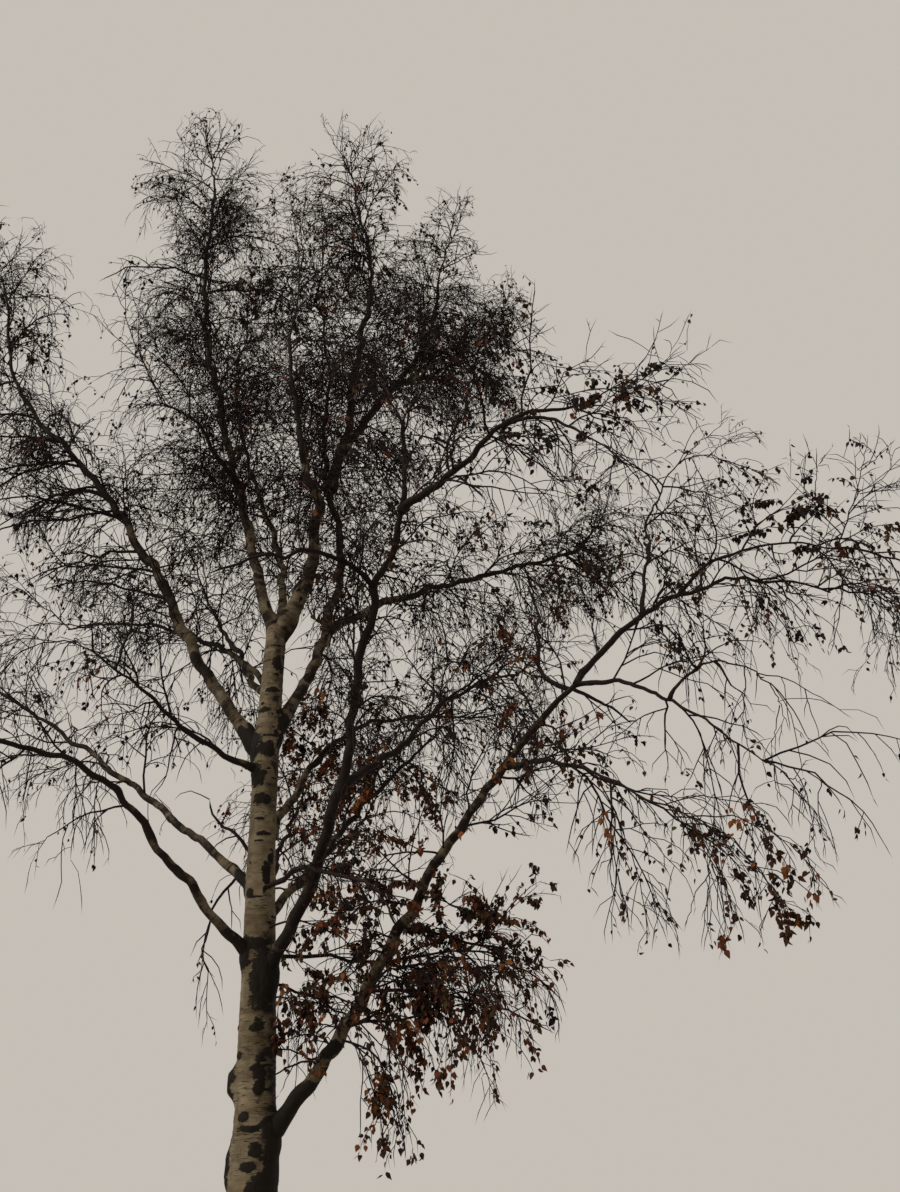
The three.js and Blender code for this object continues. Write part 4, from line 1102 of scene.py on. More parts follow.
# small branches of their own: the limb or the stem beyond it that each leaves, share of its way,
# length, radius at foot and tip, headings, rises
smallBranches = (
    ("long_left", 0.91, 1.25, 0.017, 0.006, (0, 0, 0), (81, 50, -36)),
    ("third_left", 0.87, 1.3, 0.016, 0.005, (20, 0, -40), (76, 85, 88)),
    ("low_right", 0.99, 0.7, 0.022, 0.008, (0, 0, 0), (-27, -33, -52)),
    ("mid_bough", 0.74, 0.8, 0.02, 0.008, (0, 0, 0), (25, 37, 26)),
    ("low_right", 0.27, 1.5, 0.018, 0.005, (-10, 0, 8), (-2, 10, 7)),
    ("trunk", 0.65, 1.0, 0.026, 0.01, (180, 172, 186, 178, 186), (34, 66, 28, 48, 90)),
    ("second_left", 0.07, 1.2, 0.017, 0.006, (180, 185, 190, 180, 60, 0), (-54, -50, -75, -85, -70, -30)),
    ("front_bough", 0.683, 2.2, 0.031, 0.01, (-123, -144, -131), (24, -27, -39)),
    ("low_right", 0.985, 2.65, 0.03, 0.012, (123, 79, 109), (27, 65, 59)),
    ("trunk", 0.615, 2.6, 0.031, 0.016, (-51, -52, -57), (10, -18, -35)),
    ("trunk", 0.53, 2.7, 0.024, 0.008, (20, 2, -10), (4, -8, 2)),
    ("trunk", 0.5, 1.5, 0.018, 0.006, (20, 5, -10), (-5, -28, -50)),
    ("long_left", 0.3, 1.6, 0.02, 0.006, (190, 205, 190), (20, 0, -35)),
    ("long_left", 0.4, 1.8, 0.022, 0.006, (165, 150, 170), (15, 5, -35)),
    ("long_left", 0.47, 1.9, 0.022, 0.006, (200, 215, 190), (12, -5, -40)),
    ("long_left", 0.6, 1.9, 0.022, 0.006, (185, 190, 175), (12, -22, -50)),
    ("long_left", 0.74, 1.7, 0.02, 0.006, (205, 195, 185), (5, -28, -55)),
    ("long_left", 0.84, 1.5, 0.018, 0.006, (150, 170, 180), (20, -20, -50)),
    ("right_bough", 0.8, 1.6, 0.02, 0.006, (10, 0, -10), (10, -30, -60)),
    ("right_bough", 0.95, 1.6, 0.018, 0.006, (45, 25, 0), (0, -35, -62)),
    ("stem_left", 0.72, 1.7, 0.02, 0.006, (10, 0, 20), (25, -10, -50)),
    ("stem_left", 0.84, 1.5, 0.018, 0.006, (-20, 0, 10), (30, -10, -55)),
    ("stem_left", 0.76, 1.7, 0.02, 0.006, (190, 200, 185), (25, -15, -50)),
    ("low_right", 0.2, 0.9, 0.014, 0.005, (140, 150, 170), (0, -12, -40)),
    ("low_right", 0.33, 1.9, 0.02, 0.006, (-20, -5, 5), (-5, -12, -30)),
    ("low_right", 0.4, 1.1, 0.016, 0.005, (140, 120, 150), (20, -10, -40)),
    ("low_right", 0.24, 1.7, 0.013, 0.004, (-40, -55, -75), (-10, -48, -72)),
    ("low_right", 0.3, 1.6, 0.013, 0.004, (-80, -60, -35), (0, -40, -70)),
    ("low_right", 0.46, 1.8, 0.018, 0.006, (10, 0, -15), (-5, -25, -50)),
    ("drooping_right", 0.98, 1.3, 0.01, 0.003, (-30, -20, -10), (-20, -45, -78)),
    ("low_left", 0.56, 1.1, 0.009, 0.003, (-60, -50, -40), (-60, -80, -85)),
    ("low_left", 0.5, 0.9, 0.008, 0.003, (-90, -60, -40), (-50, -75, -85)),
    ("inner_bough stem", 0.3, 1.2, 0.011, 0.004, (200, 190, 180), (45, 10, -40)),
    ("inner_bough stem", 0.48, 1.1, 0.01, 0.004, (165, 180, 190), (45, 10, -40)),
    ("inner_bough stem", 0.62, 0.9, 0.009, 0.004, (10, 0, -10), (45, 10, -35)),
    ("peak_bough stem", 0.3, 1.0, 0.01, 0.004, (190, 185, 180), (40, 10, -35)),
    ("shoulder_bough stem", 0.12, 1.0, 0.01, 0.004, (-30, -20, -10), (40, 10, -40)),
    ("shoulder_bough stem", 0.35, 1.0, 0.01, 0.004, (200, 190, 180), (40, 10, -35)),
    ("long_left stem", 0.2, 1.1, 0.01, 0.004, (10, 0, -10), (25, -10, -50)),
    ("long_left stem", 0.5, 0.9, 0.009, 0.004, (-20, 0, 10), (30, -10, -50)),
    ("peak_bough", 0.8, 1.2, 0.014, 0.005, (190, 180, 170), (40, 10, -40)),
    ("low_left", 0.62, 1.3, 0.011, 0.004, (150, 160, 170), (20, -10, -50)),
    ("stem_back stem", 0.55, 1.1, 0.011, 0.004, (-20, -10, 0), (40, 10, -40)),
    ("stem_back stem", 0.78, 1.0, 0.01, 0.004, (-30, -20, 10), (40, 10, -40)),
    ("inner_bough", 0.93, 1.3, 0.014, 0.005, (175, 185, 190), (45, 10, -45)),
    ("stem_back", 0.8, 1.4, 0.014, 0.005, (-60, -45, -30), (40, 5, -40)),
    ("front_right", 0.5, 1.2, 0.014, 0.005, (60, 40, 20), (25, -10, -40)),
    ("front_right", 0.3, 1.1, 0.014, 0.005, (-100, -70, -40), (15, -20, -55)),
    ("low_right", 0.34, 1.0, 0.012, 0.004, (-60, -20, 0), (20, 0, -40)),
    ("low_right", 0.28, 0.9, 0.012, 0.004, (-90, -60, -30), (35, 5, -40)),
    ("low_right", 0.25, 1.1, 0.012, 0.004, (-100, -70, -40), (10, -20, -50)),
    ("trunk", 0.56, 1.3, 0.014, 0.005, (-40, -30, -20), (15, -15, -45)),
    ("trunk", 0.47, 1.0, 0.012, 0.004, (-35, -45, -60), (20, -20, -55)),
    ("low_right", 0.3, 1.0, 0.012, 0.004, (150, 170, 180), (35, 5, -35)),
    ("low_right", 0.22, 0.8, 0.012, 0.004, (120, 150, 170), (45, 10, -30)),
    ("low_right", 0.5, 1.0, 0.012, 0.004, (195, 190, 185), (20, -15, -50)),
    ("low_right", 0.6, 1.0, 0.012, 0.004, (205, 190, 180), (10, -20, -55)),
    ("upright_right", 0.9, 1.2, 0.012, 0.004, (20, 10, 0), (10, -15, -40)),
    ("far_right_top", 0.45, 1.1, 0.012, 0.004, (30, 20, 10), (60, 45, 10)),
    ("long_left", 0.62, 1.9, 0.02, 0.006, (185, 175, 190), (-10, -30, -50)),
    ("long_left", 0.5, 2.2, 0.02, 0.006, (180, 190, 185), (-5, -20, -45)),
    ("long_left", 0.35, 1.7, 0.02, 0.006, (185, 200, 190), (15, -10, -45)),
    ("long_left", 0.55, 1.8, 0.02, 0.006, (170, 160, 175), (10, -15, -50)),
    ("long_left", 0.66, 1.7, 0.019, 0.006, (195, 205, 200), (8, -18, -50)),
    ("trunk", 0.53, 0.9, 0.014, 0.005, (-55, -50, -60), (5, -10, -30)),
    ("low_right", 0.43, 0.7, 0.012, 0.004, (-110, -120, -140), (5, -15, -35)),
    ("low_right", 0.18, 0.7, 0.012, 0.004, (-125, -140, -150), (30, 10, -20)),
    ("low_right", 0.37, 1.7, 0.016, 0.005, (-22, -18, -10), (12, -5, -25)),
    ("far_right_top", 0.95, 1.3, 0.014, 0.005, (-10, 10, 20), (-5, -25, -50)),
    ("far_right", 0.97, 1.2, 0.014, 0.005, (10, 0, -10), (10, -25, -60)),
    ("far_right_top", 0.72, 1.0, 0.012, 0.004, (60, 50, 40), (50, 40, 10)),
    ("far_right", 0.55, 1.0, 0.01, 0.004, (-60, -50, -40), (-5, -40, -70)),
    ("far_right", 0.75, 1.1, 0.01, 0.004, (60, 50, 40), (0, -40, -70)),
    ("far_right", 0.35, 1.2, 0.012, 0.004, (-90, -70, -60), (10, -20, -60)),
    ("long_left", 0.523, 1.7, 0.036, 0.012, (165, 146, 152), (43, 8, 65)),
)

# the masses that share a piece
twigGroups = {
    "twigs_top_left": ("stem_left", "stem_left_low", "stem_back", "rear_left"),
    "twigs_top_middle": ("stem_centre", "inner_bough", "peak_bough"),
    "twigs_top_right": ("shoulder_bough", "wide_shoulder", "front_bough", "front_right", "front_right_top"),
    "twigs_right": ("far_right", "far_right_top", "upright_right", "drooping_right", "outer_right",
                    "right_bough", "mid_bough"),
    "twigs_low": ("hanging_bough", "leafy_bough"),
    "twigs_back": ("back_right", "rear_bough", "rear_low"),
    "twigs_left": ("low_left", "second_left", "third_left", "long_left", "crossing_left"),
}


def smoothed(path, count):
    # a curve through all the joints of a path, at evenly spaced places
    path = np.asarray(path)
    place = np.linspace(0, len(path) - 1, count)
    low = np.minimum(place.astype(int), len(path) - 2)
    part = (place - low)[:, None]
    ends = np.vstack([2 * path[0] - path[1], path, 2 * path[-1] - path[-2]])
    a, b, c, d = ends[low], ends[low + 1], ends[low + 2], ends[low + 3]
    return 0.5 * (2 * b + (c - a) * part + (2 * a - 5 * b + 4 * c - d) * part ** 2
                  + (3 * b - a - 3 * c + d) * part ** 3)


def newLevel(paths, feet, tips, home, weep, fullness):
    paths = np.asarray(paths, float)
    lengths = np.linalg.norm(np.diff(paths, axis=1), axis=2).sum(1)
    return {"paths": paths, "feet": np.asarray(feet, float), "tips": np.asarray(tips, float),
            "lengths": lengths, "home": np.asarray(home), "weep": np.asarray(weep, float),
            "fullness": np.asarray(fullness, float)}


def limbTree():
    # the limbs' axes, to measure how far a twig is from the nearest wood
    places, radii = [], []
    for limb in limbs.values():
        count = int(limb["length"] / twigRule["woodStep"])
        for i in range(count + 1):
            at = placeAt(limb["bent"], i / count)
            places.append(at)
            thick = trunkRadius(at[2]) if limb["name"] == "trunk" else radiusAt(limb, i / count)
            radii.append(float(thick))
    tree = KDTree(len(places))
    for i, at in enumerate(places):
        tree.insert(at, i)
    tree.balance()
    return tree, radii


def inReach(paths):
    # every point in a space or near a limb, inside the box, and clear of the limbs past the foot
    count, joints = paths.shape[:2]
    flat = paths.reshape(-1, 3)
    ways = np.array([limbDistance(point) for point in flat]).reshape(count, joints, 2)
    deep = depthsIn(flat).min(1).reshape(count, joints)
    inside = (deep < 1) | (ways[..., 0] < twigRule["limbReach"])
    low, high = np.array(cadLow) - twigRule["boxMargin"], np.array(cadHigh) + twigRule["boxMargin"]
    boxed = ((paths > low) & (paths < high)).all(2)
    clear = ways[..., 1] > twigRule["woodGap"]
    free = np.ones(count, bool)
    for corner, opposite in twigRule["open"]:
        free &= ~((paths > corner) & (paths < opposite)).all(2).any(1)
    return free & inside.all(1) & boxed.all(1) & clear[:, 2:].all(1)


def limbDistance(point):
    _, index, away = woodTree.find(point)
    return away, away - woodRadii[index]


def fullnessAt(places):
    low, more, least, most = twigRule["fullerAbove"]
    full = np.clip(1 + (places[:, 2] - low) * more, least, most)
    for x, y, z, reach, extra in twigRule["fuller"]:
        full += extra * np.exp(-((places - (x, y, z)) ** 2).sum(1) / reach ** 2)
    return np.maximum(full, twigRule["leastFull"])


def shootsFrom(parents, kind, draw):
    # candidates for one kind of shoot along every parent
    low, high = twigRule[kind]["span"]
    wanted = parents["lengths"] * (high - low) * twigRule[kind]["perMetre"]
    wanted = wanted * parents["fullness"] * fullnessAt(parents["paths"][:, parents["paths"].shape[1] // 2])
    counts = (wanted + draw.random(len(wanted))).astype(int)
    rows = np.repeat(np.arange(len(counts)), counts)
    order = np.concatenate([np.arange(count) for count in counts])
    share = within((low, high), (order + draw.random(len(rows))) / np.maximum(counts[rows], 1))
    apart, spread = twigRule["turns"]
    turn = order * rule["goldenTurn"] + rows * apart + draw.normal(0, spread, len(rows))
    return rows, share, turn


def pathsOf(parents, kind, rows, share, turn, shorter, draw):
    settings = twigRule[kind]
    joints = settings["joints"]
    foot, along = alongPaths(parents["paths"][rows], share)
    lean = np.radians(draw.uniform(*settings["lean"], len(rows)))[:, None]
    heading = along * np.cos(lean) + squareTo(along, turn) * np.sin(lean)
    length = draw.uniform(*settings["lengths"], len(rows)) * (1 - twigRule["shorterOut"] * share) * shorter
    full, least, most = twigRule["byParent"]
    length *= np.clip(parents["lengths"][rows] / full, least, most)
    step = (length / joints)[:, None]
    pull = (parents["weep"][rows] * settings["pull"] * underTop(parents["home"][rows], foot))[:, None]
    paths = [foot]
    for joint in range(joints):
        heading = heading + draw.normal(0, settings["wander"], (len(rows), 3))
        heading[:, 2:] -= pull * (joint + 1) / joints
        heading = unit(heading)
        paths.append(paths[-1] + heading * step)
    return np.stack(paths, 1)


def underTop(home, places):
    # shoots near the top of a mass's space stand up, and lower ones hang
    over, more, less, least = twigRule["hang"]
    tops = [max(mass["centre"][2] + mass["space"][2], limbs[mass["name"]]["path"][:, 2].max() + over)
            for mass in masses]
    return np.clip((np.array(tops)[home] - places[:, 2]) * more - less, least, 1)


def grow(parents, kind, draw):
    rows, share, turn = shootsFrom(parents, kind, draw)
    paths = pathsOf(parents, kind, rows, share, turn, 1, draw)
    kept = inReach(paths)
    again = ~kept
    shorter, turned = twigRule["second"]
    retried = pathsOf(parents, kind, rows[again], share[again], turn[again] + turned, shorter, draw)
    paths[again] = retried
    kept[again] = inReach(retried)
    if kind in ("shoot", "twiglet"):
        size, seed, mean, swing = twigRule["clumps"]
        kept &= draw.random(len(kept)) < mean + swing * bumps(paths[:, 1], size, seed)
    rows, share, paths = rows[kept], share[kept], paths[kept]
    foot, tip = twigRule[kind]["radii"]
    limit = within((parents["feet"][rows], parents["tips"][rows]), share) * twigRule["ofParent"]
    feet = np.minimum(draw.uniform(*twigRule["thickness"], len(rows)) * foot,
                      np.maximum(limit, twigRule["thinnest"]))
    return newLevel(paths, feet, np.full(len(rows), tip), parents["home"][rows],
                    parents["weep"][rows], parents["fullness"][rows] ** 0.5)


def mainTwigs():
    # the stems and twigs of the rule, and the small branches, with smooth bends
    draw = np.random.default_rng(twigRule["seed"])
    settings = twigRule["main"]
    joints = settings["joints"]
    rows = []

    def take(path, foot, tip, home, weep):
        curve = smoothed(path, joints)
        share = np.sin(np.linspace(0, np.pi, joints))[:, None]
        bend = draw.normal(0, settings["wander"], curve.shape) * share * np.linalg.norm(path[-1] - path[0])
        rows.append((curve + bend, foot, tip, home, weep, 1))

    for home, mass in enumerate(masses):
        weep = weepOf(mass)
        take(mass["path"], mass["foot"] * (1 - boughBark["slimmer"][0]), settings["stemTip"], home, weep)
        for twig in mass["twigs"]:
            take(twig["path"], min(twig["foot"], settings["thickest"]), settings["tip"], home, weep)
    carriers = {mass["name"] + " stem": mass["path"] for mass in masses}
    carriers.update((limb["name"], limb["bent"]) for limb in limbs.values())
    for on, share, length, foot, tip, headings, rises in smallBranches:
        path = walk(placeAt(carriers[on], share), length, headings, rises, settings["steps"])
        deep = depthsIn(path[-1:])[0]
        if path[-1, 0] < twigRule["leafyFrom"]:
            deep[leafyHome] = np.inf
        home = int(np.argmin(deep))
        take(path, foot, tip, home, max(weepOf(masses[home]), twigRule["leastWeep"]))
    return newLevel(*zip(*rows))


def weepOf(mass):
    mean, change, least, most = twigRule["weep"]
    return float(np.clip(mean + change * mass["droop"], least, most))


def limbLevel():
    # the part of each limb that bears side branches, as parents for them
    rows = []
    byName = {mass["name"]: index for index, mass in enumerate(masses)}
    for limb in boughs:
        shares = np.linspace(limb["first"], 1, twigRule["limbJoints"])
        home = byName.get(limb["name"], int(np.argmin(depthsIn(limb["path"][-1:])[0])))
        rows.append((np.array([placeAt(limb["bent"], share) for share in shares]),
                     radiusAt(limb, limb["first"]), limb["tip"], home, weepOf(masses[home]),
                     limb["fullness"]))
    return newLevel(*zip(*rows))


def together(levels):
    # levels whose paths have the same number of joints, as one
    return {key: np.concatenate([level[key] for level in levels]) for key in levels[0]}


def addTwigPieces(levels):
    for name, members in twigGroups.items():
        homes = [index for index, mass in enumerate(masses) if mass["name"] in members]
        parts = []
        for level, sides in levels:
            mine = np.isin(level["home"], homes)
            if mine.any():
                paths = level["paths"][mine]
                share = np.linspace(0, 1, paths.shape[1])
                radii = within((level["feet"][mine][:, None], level["tips"][mine][:, None]), share)
                parts.append(bars(paths, radii, sides))
        points, triangles = joined(parts)
        piece = addMesh(name, points, triangles)
        piece.data.materials.append(twigFinish)
        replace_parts(piece, *["twigs_" + member for member in members])
        print(" ", name, len(triangles), "triangles")


def byLength(level, limit):
    # the long ones as they are, and the short ones with every second joint
    short = level["lengths"] < limit
    fewer = {key: value[short] for key, value in level.items()}
    fewer["paths"] = fewer["paths"][:, ::2]
    return [{key: value[~short] for key, value in level.items()}, fewer]


leafyHome = next(index for index, mass in enumerate(masses) if mass["name"] == "leafy_bough")
woodTree, woodRadii = limbTree()
draw = np.random.default_rng(twigRule["seed"])
main = mainTwigs()
side = grow(limbLevel(), "side", draw)
branchlets = together([grow(parents, "branchlet", draw) for parents in (main, side)])
shoots = together([grow(parents, "shoot", draw) for parents in (main, side, branchlets)])
twiglets = grow(shoots, "twiglet", draw)
mainSides, sideSides, thinSides = twigRule["sides"]
levels = [(main, mainSides), (side, sideSides)]
for kind, level in (("branchlet", branchlets), ("shoot", shoots), ("twiglet", twiglets)):
    levels += [(part, thinSides) for part in byLength(level, twigRule[kind]["fewerBelow"])]
addTwigPieces(levels)
print("twigs:", len(main["feet"]), "main,", len(side["feet"]), "side,", len(branchlets["feet"]),
      "branchlets,", len(shoots["feet"]), "shoots,", len(twiglets["feet"]), "twiglets")


# Leaves: the last brown ones, in sprays on the shoots
leafRule = {
    "seed": 5,
    "sprays": 1250,
    "perSpray": (3, 12),
    "length": (0.044, 0.072),
    "width": 0.78,            # of the length
    "stalk": 0.30,            # of the length
    "fold": 0.35,
    "curl": 0.30,
    "sprayReach": 0.07,
    "singles": 7600,
    "perSingle": 2,
    "evenness": 0.35,         # how far the single leaves follow the thickly leaved masses
    "outer": (0.3, 1),        # the part of a shoot that bears leaves
    "tilt": 0.45,
    "foldShare": (0.3, 1),
    "stalkHalfWidth": 0.02,
    "boxMargin": 0.1,
    # thick bunches: where, half size, sprays
    "bunches": (
        (5.6, -2.6, 7.6, 0.55, 34), (3.9, 2.8, 10.4, 0.8, 44), (3.5, -3.7, 8.4, 0.65, 28),
        (2.8, -3.4, 8.6, 0.5, 16), (0.8, 0.4, 13.9, 0.6, 16), (-4.2, 0.5, 13.2, 0.6, 20),
        (5.4, -1.9, 6.7, 0.6, 14), (1.4, -2.4, 8.9, 0.7, 20), (1.6, 1.7, 13.6, 0.8, 30),
        (-1.0, 2.6, 15.6, 0.8, 24), (2.4, 2.1, 13.9, 0.7, 20), (3.9, -0.9, 8.6, 0.6, 14),
        (1.9, 0.5, 7.4, 0.6, 16), (0.6, -1.1, 4.35, 0.4, 18), (1.16, -1.0, 4.1, 0.35, 26),
        (2.02, -1.1, 4.2, 0.4, 10), (2.65, -1.1, 4.0, 0.35, 18), (1.5, -1.0, 3.6, 0.35, 24),
        (2.05, -1.0, 3.5, 0.4, 20), (0.5, -0.9, 3.5, 0.35, 36), (1.4, -1.0, 2.95, 0.35, 30),
        (1.15, -1.0, 2.6, 0.35, 24), (0.6, 1.7, 6.5, 0.7, 26), (0.3, 3.4, 7.0, 0.8, 50),
        (0.9, 1.2, 5.9, 0.6, 28), (0.1, 2.2, 7.5, 0.6, 30), (0.5, -0.6, 4.4, 0.4, 22),
        (0.45, -0.6, 3.8, 0.4, 22), (1.0, -0.6, 4.7, 0.4, 12), (1.4, -0.5, 5.1, 0.5, 14),
        (2.9, 2.5, 14.6, 0.6, 30), (1.3, 1.6, 6.6, 0.6, 8), (4.3, -3.2, 3.9, 0.5, 24),
        (1.45, -0.9, 3.95, 0.4, 16), (1.45, -0.9, 3.4, 0.35, 36), (1.75, -0.8, 3.5, 0.35, 24),
        (1.7, -0.7, 4.3, 0.4, 32), (0.85, -0.6, 3.75, 0.35, 12), (2.8, -3.5, 8.7, 0.5, 6),
        (0.1, 1.6, 7.2, 0.5, 44), (0.4, 1.8, 6.7, 0.5, 44), (0.7, 1.5, 6.2, 0.5, 40),
        (1.1, 1.6, 7.0, 0.5, 4), (1.75, -0.8, 4.75, 0.35, 20), (2.15, -0.9, 4.6, 0.35, 26),
        (2.4, -1.0, 4.3, 0.35, 20), (1.6, -0.6, 4.7, 0.45, 24), (1.4, 0.0, 15.0, 0.45, 10),
        (2.0, 1.4, 15.7, 0.45, 14), (-2.0, 0.4, 16.5, 0.4, 8), (1.0, 0.8, 14.6, 0.45, 12),
        (2.7, 2.7, 13.5, 0.5, 14), (1.7, 1.0, 11.4, 0.45, 10), (3.2, 1.7, 14.4, 0.45, 8),
        (3.5, -3.7, 8.3, 0.4, 14), (5.3, -3.0, 7.6, 0.35, 16), (5.7, -0.3, 9.7, 0.4, 12),
        (6.5, -1.8, 8.1, 0.4, 14), (3.9, 3.1, 10.2, 0.5, 14), (3.6, 0.6, 9.0, 0.45, 14),
        (4.4, -1.5, 7.3, 0.5, 12), (-0.8, 1.1, 14.4, 0.4, 22), (-0.2, 1.1, 13.7, 0.4, 20),
        (-3.9, 0.6, 13.2, 0.4, 10), (0.6, 0.0, 14.3, 0.4, 10), (-1.3, 0.6, 15.9, 0.4, 8),
        (-0.6, 1.2, 15.1, 0.45, 16), (1.0, 2.2, 14.9, 0.45, 14), (0.2, 1.1, 14.1, 0.4, 12),
        (4.55, -2.9, 3.85, 0.32, 20), (1.6, 1.9, 6.3, 0.5, 26), (1.6, -1.4, 4.3, 0.35, 14),
        (2.4, 1.9, 10.7, 0.5, 12), (3.2, 2.1, 10.8, 0.45, 8), (3.3, 2.4, 14.0, 0.45, 10),
        (-4.5, 3.2, 10.8, 0.45, 10), (-1.8, -1.7, 6.7, 0.45, 6),
    ),
    "smallLength": (0.036, 0.060),
}
# each tint: colour, and its share of the sprays low on the right, behind the trunk and elsewhere
leafTints = {
    "russet": ((0.096, 0.028, 0.010, 1), 0.27, 0.46, 0.10),
    "orange": ((0.180, 0.060, 0.015, 1), 0.04, 0.17, 0.02),
    "brown": ((0.042, 0.019, 0.009, 1), 0.38, 0.21, 0.22),
    "dark": ((0.014, 0.008, 0.007, 1), 0.25, 0.10, 0.62),
    "olive": ((0.040, 0.034, 0.012, 1), 0.06, 0.06, 0.04),
}
# a leaf's outline: across and along, first its middle line and then one edge
leafOutlines = {
    "near": (((0, 0), (0, 0.42), (0, 1)), ((0.34, 0.10), (0.46, 0.34), (0.27, 0.66))),
    "small": (((0, 0), (0, 1)), ((0.40, 0.20), (0.36, 0.52))),
}


def leafShape(kind):
    # the points of one leaf, unit long, with its stalk, and its triangles
    middle, edge = leafOutlines[kind]
    points = [(x, y, 0) for x, y in middle]
    triangles = []
    for side in (1, -1):
        first = len(points)
        points += [(side * x, y, abs(x)) for x, y in edge]
        rim = [0, *range(first, len(points)), len(middle) - 1]
        for here, there in zip(rim[:-1], rim[1:]):
            hub = 1 if len(middle) > 2 else 0
            if hub in (here, there):
                continue
            triangles.append((hub, here, there) if side > 0 else (hub, there, here))
    stalk = len(points)
    half = leafRule["stalkHalfWidth"]
    points += [(half, 0, 0), (-half, 0, 0), (0, -leafRule["stalk"], 0)]
    triangles.append((stalk, stalk + 1, stalk + 2))
    return np.array(points, float), np.array(triangles)


def leafWeights():
    weight = np.array([masses[int(home)]["leaved"] for home in shoots["home"]]) * shoots["lengths"]
    return weight / weight.sum()


def leafCentres(picked, counts, draw):
    # places on the outer parts of picked shoots, and which of them each is on
    spray = np.repeat(np.arange(len(picked)), counts)
    paths = shoots["paths"][picked][spray]
    return alongPaths(paths, draw.uniform(*leafRule["outer"], len(spray)))[0], spray


def spraySites(draw):
    # leaves close together round the outer parts of picked shoots
    weight = leafWeights()
    picked = [draw.choice(len(weight), leafRule["sprays"], p=weight)]
    for x, y, z, size, count in leafRule["bunches"]:
        away = np.linalg.norm(shoots["paths"][:, -1] - (x, y, z), axis=1)
        near = np.flatnonzero(away < size)
        if len(near):
            picked.append(draw.choice(near, count))
    picked = np.concatenate(picked)
    centre, spray = leafCentres(picked, draw.integers(*leafRule["perSpray"], len(picked)), draw)
    centre = centre + draw.normal(0, leafRule["sprayReach"] / 4, centre.shape)
    return centre, spray, tintPlace[shoots["home"][picked]]


def singleSites(draw):
    # small leaves and catkins, a few on each picked shoot, all over the crown
    weight = leafWeights() ** leafRule["evenness"] * (shoots["home"] != leafyHome)
    picked = draw.choice(len(weight), leafRule["singles"], p=weight / weight.sum())
    return leafCentres(picked, leafRule["perSingle"], draw)


def leafPoints(kind, centre, lengths, draw):
    # each leaf hangs from its stalk, turned at random and tilted a little
    template, faces = leafShape(kind)
    count = len(centre)
    down = unit(draw.normal(0, leafRule["tilt"], (count, 3)) - (0, 0, 1))
    side = unit(np.cross(down, draw.normal(0, 1, (count, 3))))
    face = np.cross(side, down)
    length = draw.uniform(*lengths, count)
    fold = draw.uniform(*leafRule["foldShare"], count) * leafRule["fold"]
    curl = draw.normal(0, 1, count) * leafRule["curl"]
    x = template[:, 0] * leafRule["width"]
    y = template[:, 1] + leafRule["stalk"]
    z = template[:, 2] * fold[:, None] + curl[:, None] * template[:, 1] ** 2
    points = centre[:, None] + (side[:, None] * x[:, None] + down[:, None] * y[:, None]
                                + face[:, None] * z[..., None]) * length[:, None, None]
    return points, faces


def dealTints(chances, count, draw):
    return draw.choice(len(chances), count, p=chances / chances.sum())


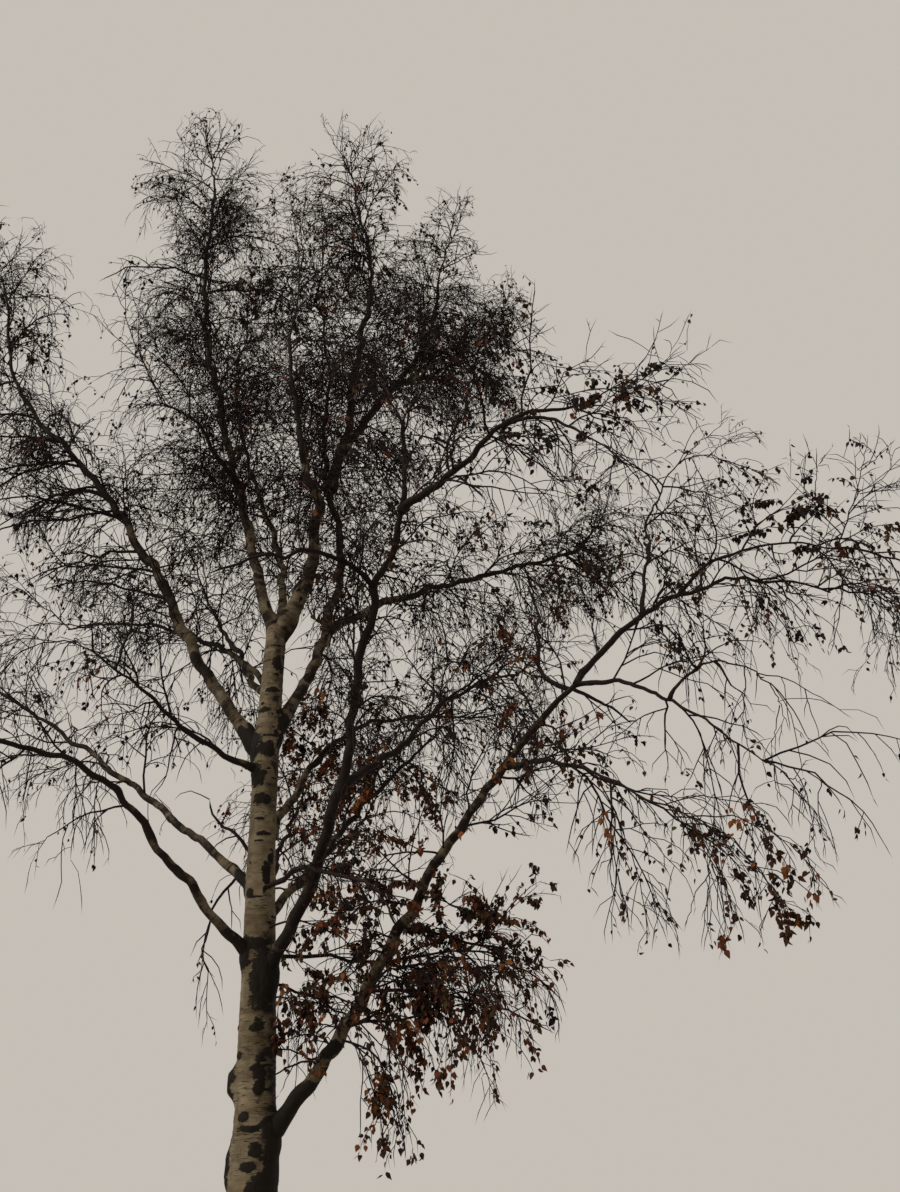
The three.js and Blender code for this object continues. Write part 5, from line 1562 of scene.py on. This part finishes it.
def makeLeaves():
    draw = np.random.default_rng(leafRule["seed"])
    centre, spray, place = spraySites(draw)
    near, nearFaces = leafPoints("near", centre, leafRule["length"], draw)
    centre, pair = singleSites(draw)
    small, smallFaces = leafPoints("small", centre, leafRule["smallLength"], draw)
    chances = np.array([shares for _, *shares in leafTints.values()])
    dealt = np.stack([dealTints(column, len(place), draw) for column in chances.T])
    nearTint = dealt[place, np.arange(len(place))][spray]
    smallTint = dealTints(chances[:, 2], int(pair.max()) + 1, draw)[pair]
    low, high = np.array(cadLow) - leafRule["boxMargin"], np.array(cadHigh) + leafRule["boxMargin"]
    for index, (name, (colour, *_)) in enumerate(leafTints.items()):
        parts = []
        for leaves, faces, tint in ((near, nearFaces, nearTint), (small, smallFaces, smallTint)):
            mine = leaves[((leaves > low) & (leaves < high)).all((1, 2)) & (tint == index)]
            parts.append((mine.reshape(-1, 3), copies(faces, len(mine), leaves.shape[1])))
        points, triangles = joined(parts)
        piece = addMesh("leaves_" + name, points, triangles, smooth=False)
        piece.data.materials.append(leafMaterial("leaf_" + name, colour))
        print("  leaves", name, len(triangles), "triangles")


# low on the right, behind the trunk, and the rest elsewhere
tintPlaces = {"leafy_bough": 0, "hanging_bough": 0, "rear_low": 1, "rear_bough": 1, "back_right": 1}
tintPlace = np.array([tintPlaces.get(mass["name"], 2) for mass in masses])
makeLeaves()


# Floor, sky and light
studio = {
    "floorRadius": 150.0,
    "floorSides": 96,
    "floorColour": (0.50, 0.48, 0.45, 1),
    "skyColour": (0.56, 0.522, 0.472, 1),
    "skyStrength": 1.0,
    "sunTurn": (55, 0, -62),   # degrees
    "sunStrength": 1.9,
    "sunAngle": 50,
    "sunColour": (1.0, 0.96, 0.90),
}


def makeStudio():
    turn = turnsRound(studio["floorSides"])
    points = np.stack([np.cos(turn), np.sin(turn), turn * 0], 1) * studio["floorRadius"]
    mesh = bpy.data.meshes.new("floor")
    mesh.from_pydata(points.tolist(), [], [list(range(studio["floorSides"]))])
    floor = bpy.data.objects.new("floor", mesh)
    bpy.context.scene.collection.objects.link(floor)
    material, tree, shader = newMaterial("floor")
    shader.inputs["Base Color"].default_value = studio["floorColour"]
    shader.inputs["Roughness"].default_value = 0.9
    mesh.materials.append(material)
    world = bpy.data.worlds.new("sky")
    world.use_nodes = True
    background = world.node_tree.nodes["Background"]
    background.inputs["Color"].default_value = studio["skyColour"]
    background.inputs["Strength"].default_value = studio["skyStrength"]
    bpy.context.scene.world = world
    data = bpy.data.lights.new("sun", "SUN")
    data.energy = studio["sunStrength"]
    data.angle = math.radians(studio["sunAngle"])
    data.color = studio["sunColour"]
    sun = bpy.data.objects.new("sun", data)
    sun.rotation_euler = [math.radians(value) for value in studio["sunTurn"]]
    bpy.context.scene.collection.objects.link(sun)
    bpy.context.scene.view_settings.view_transform = "Standard"


makeStudio()
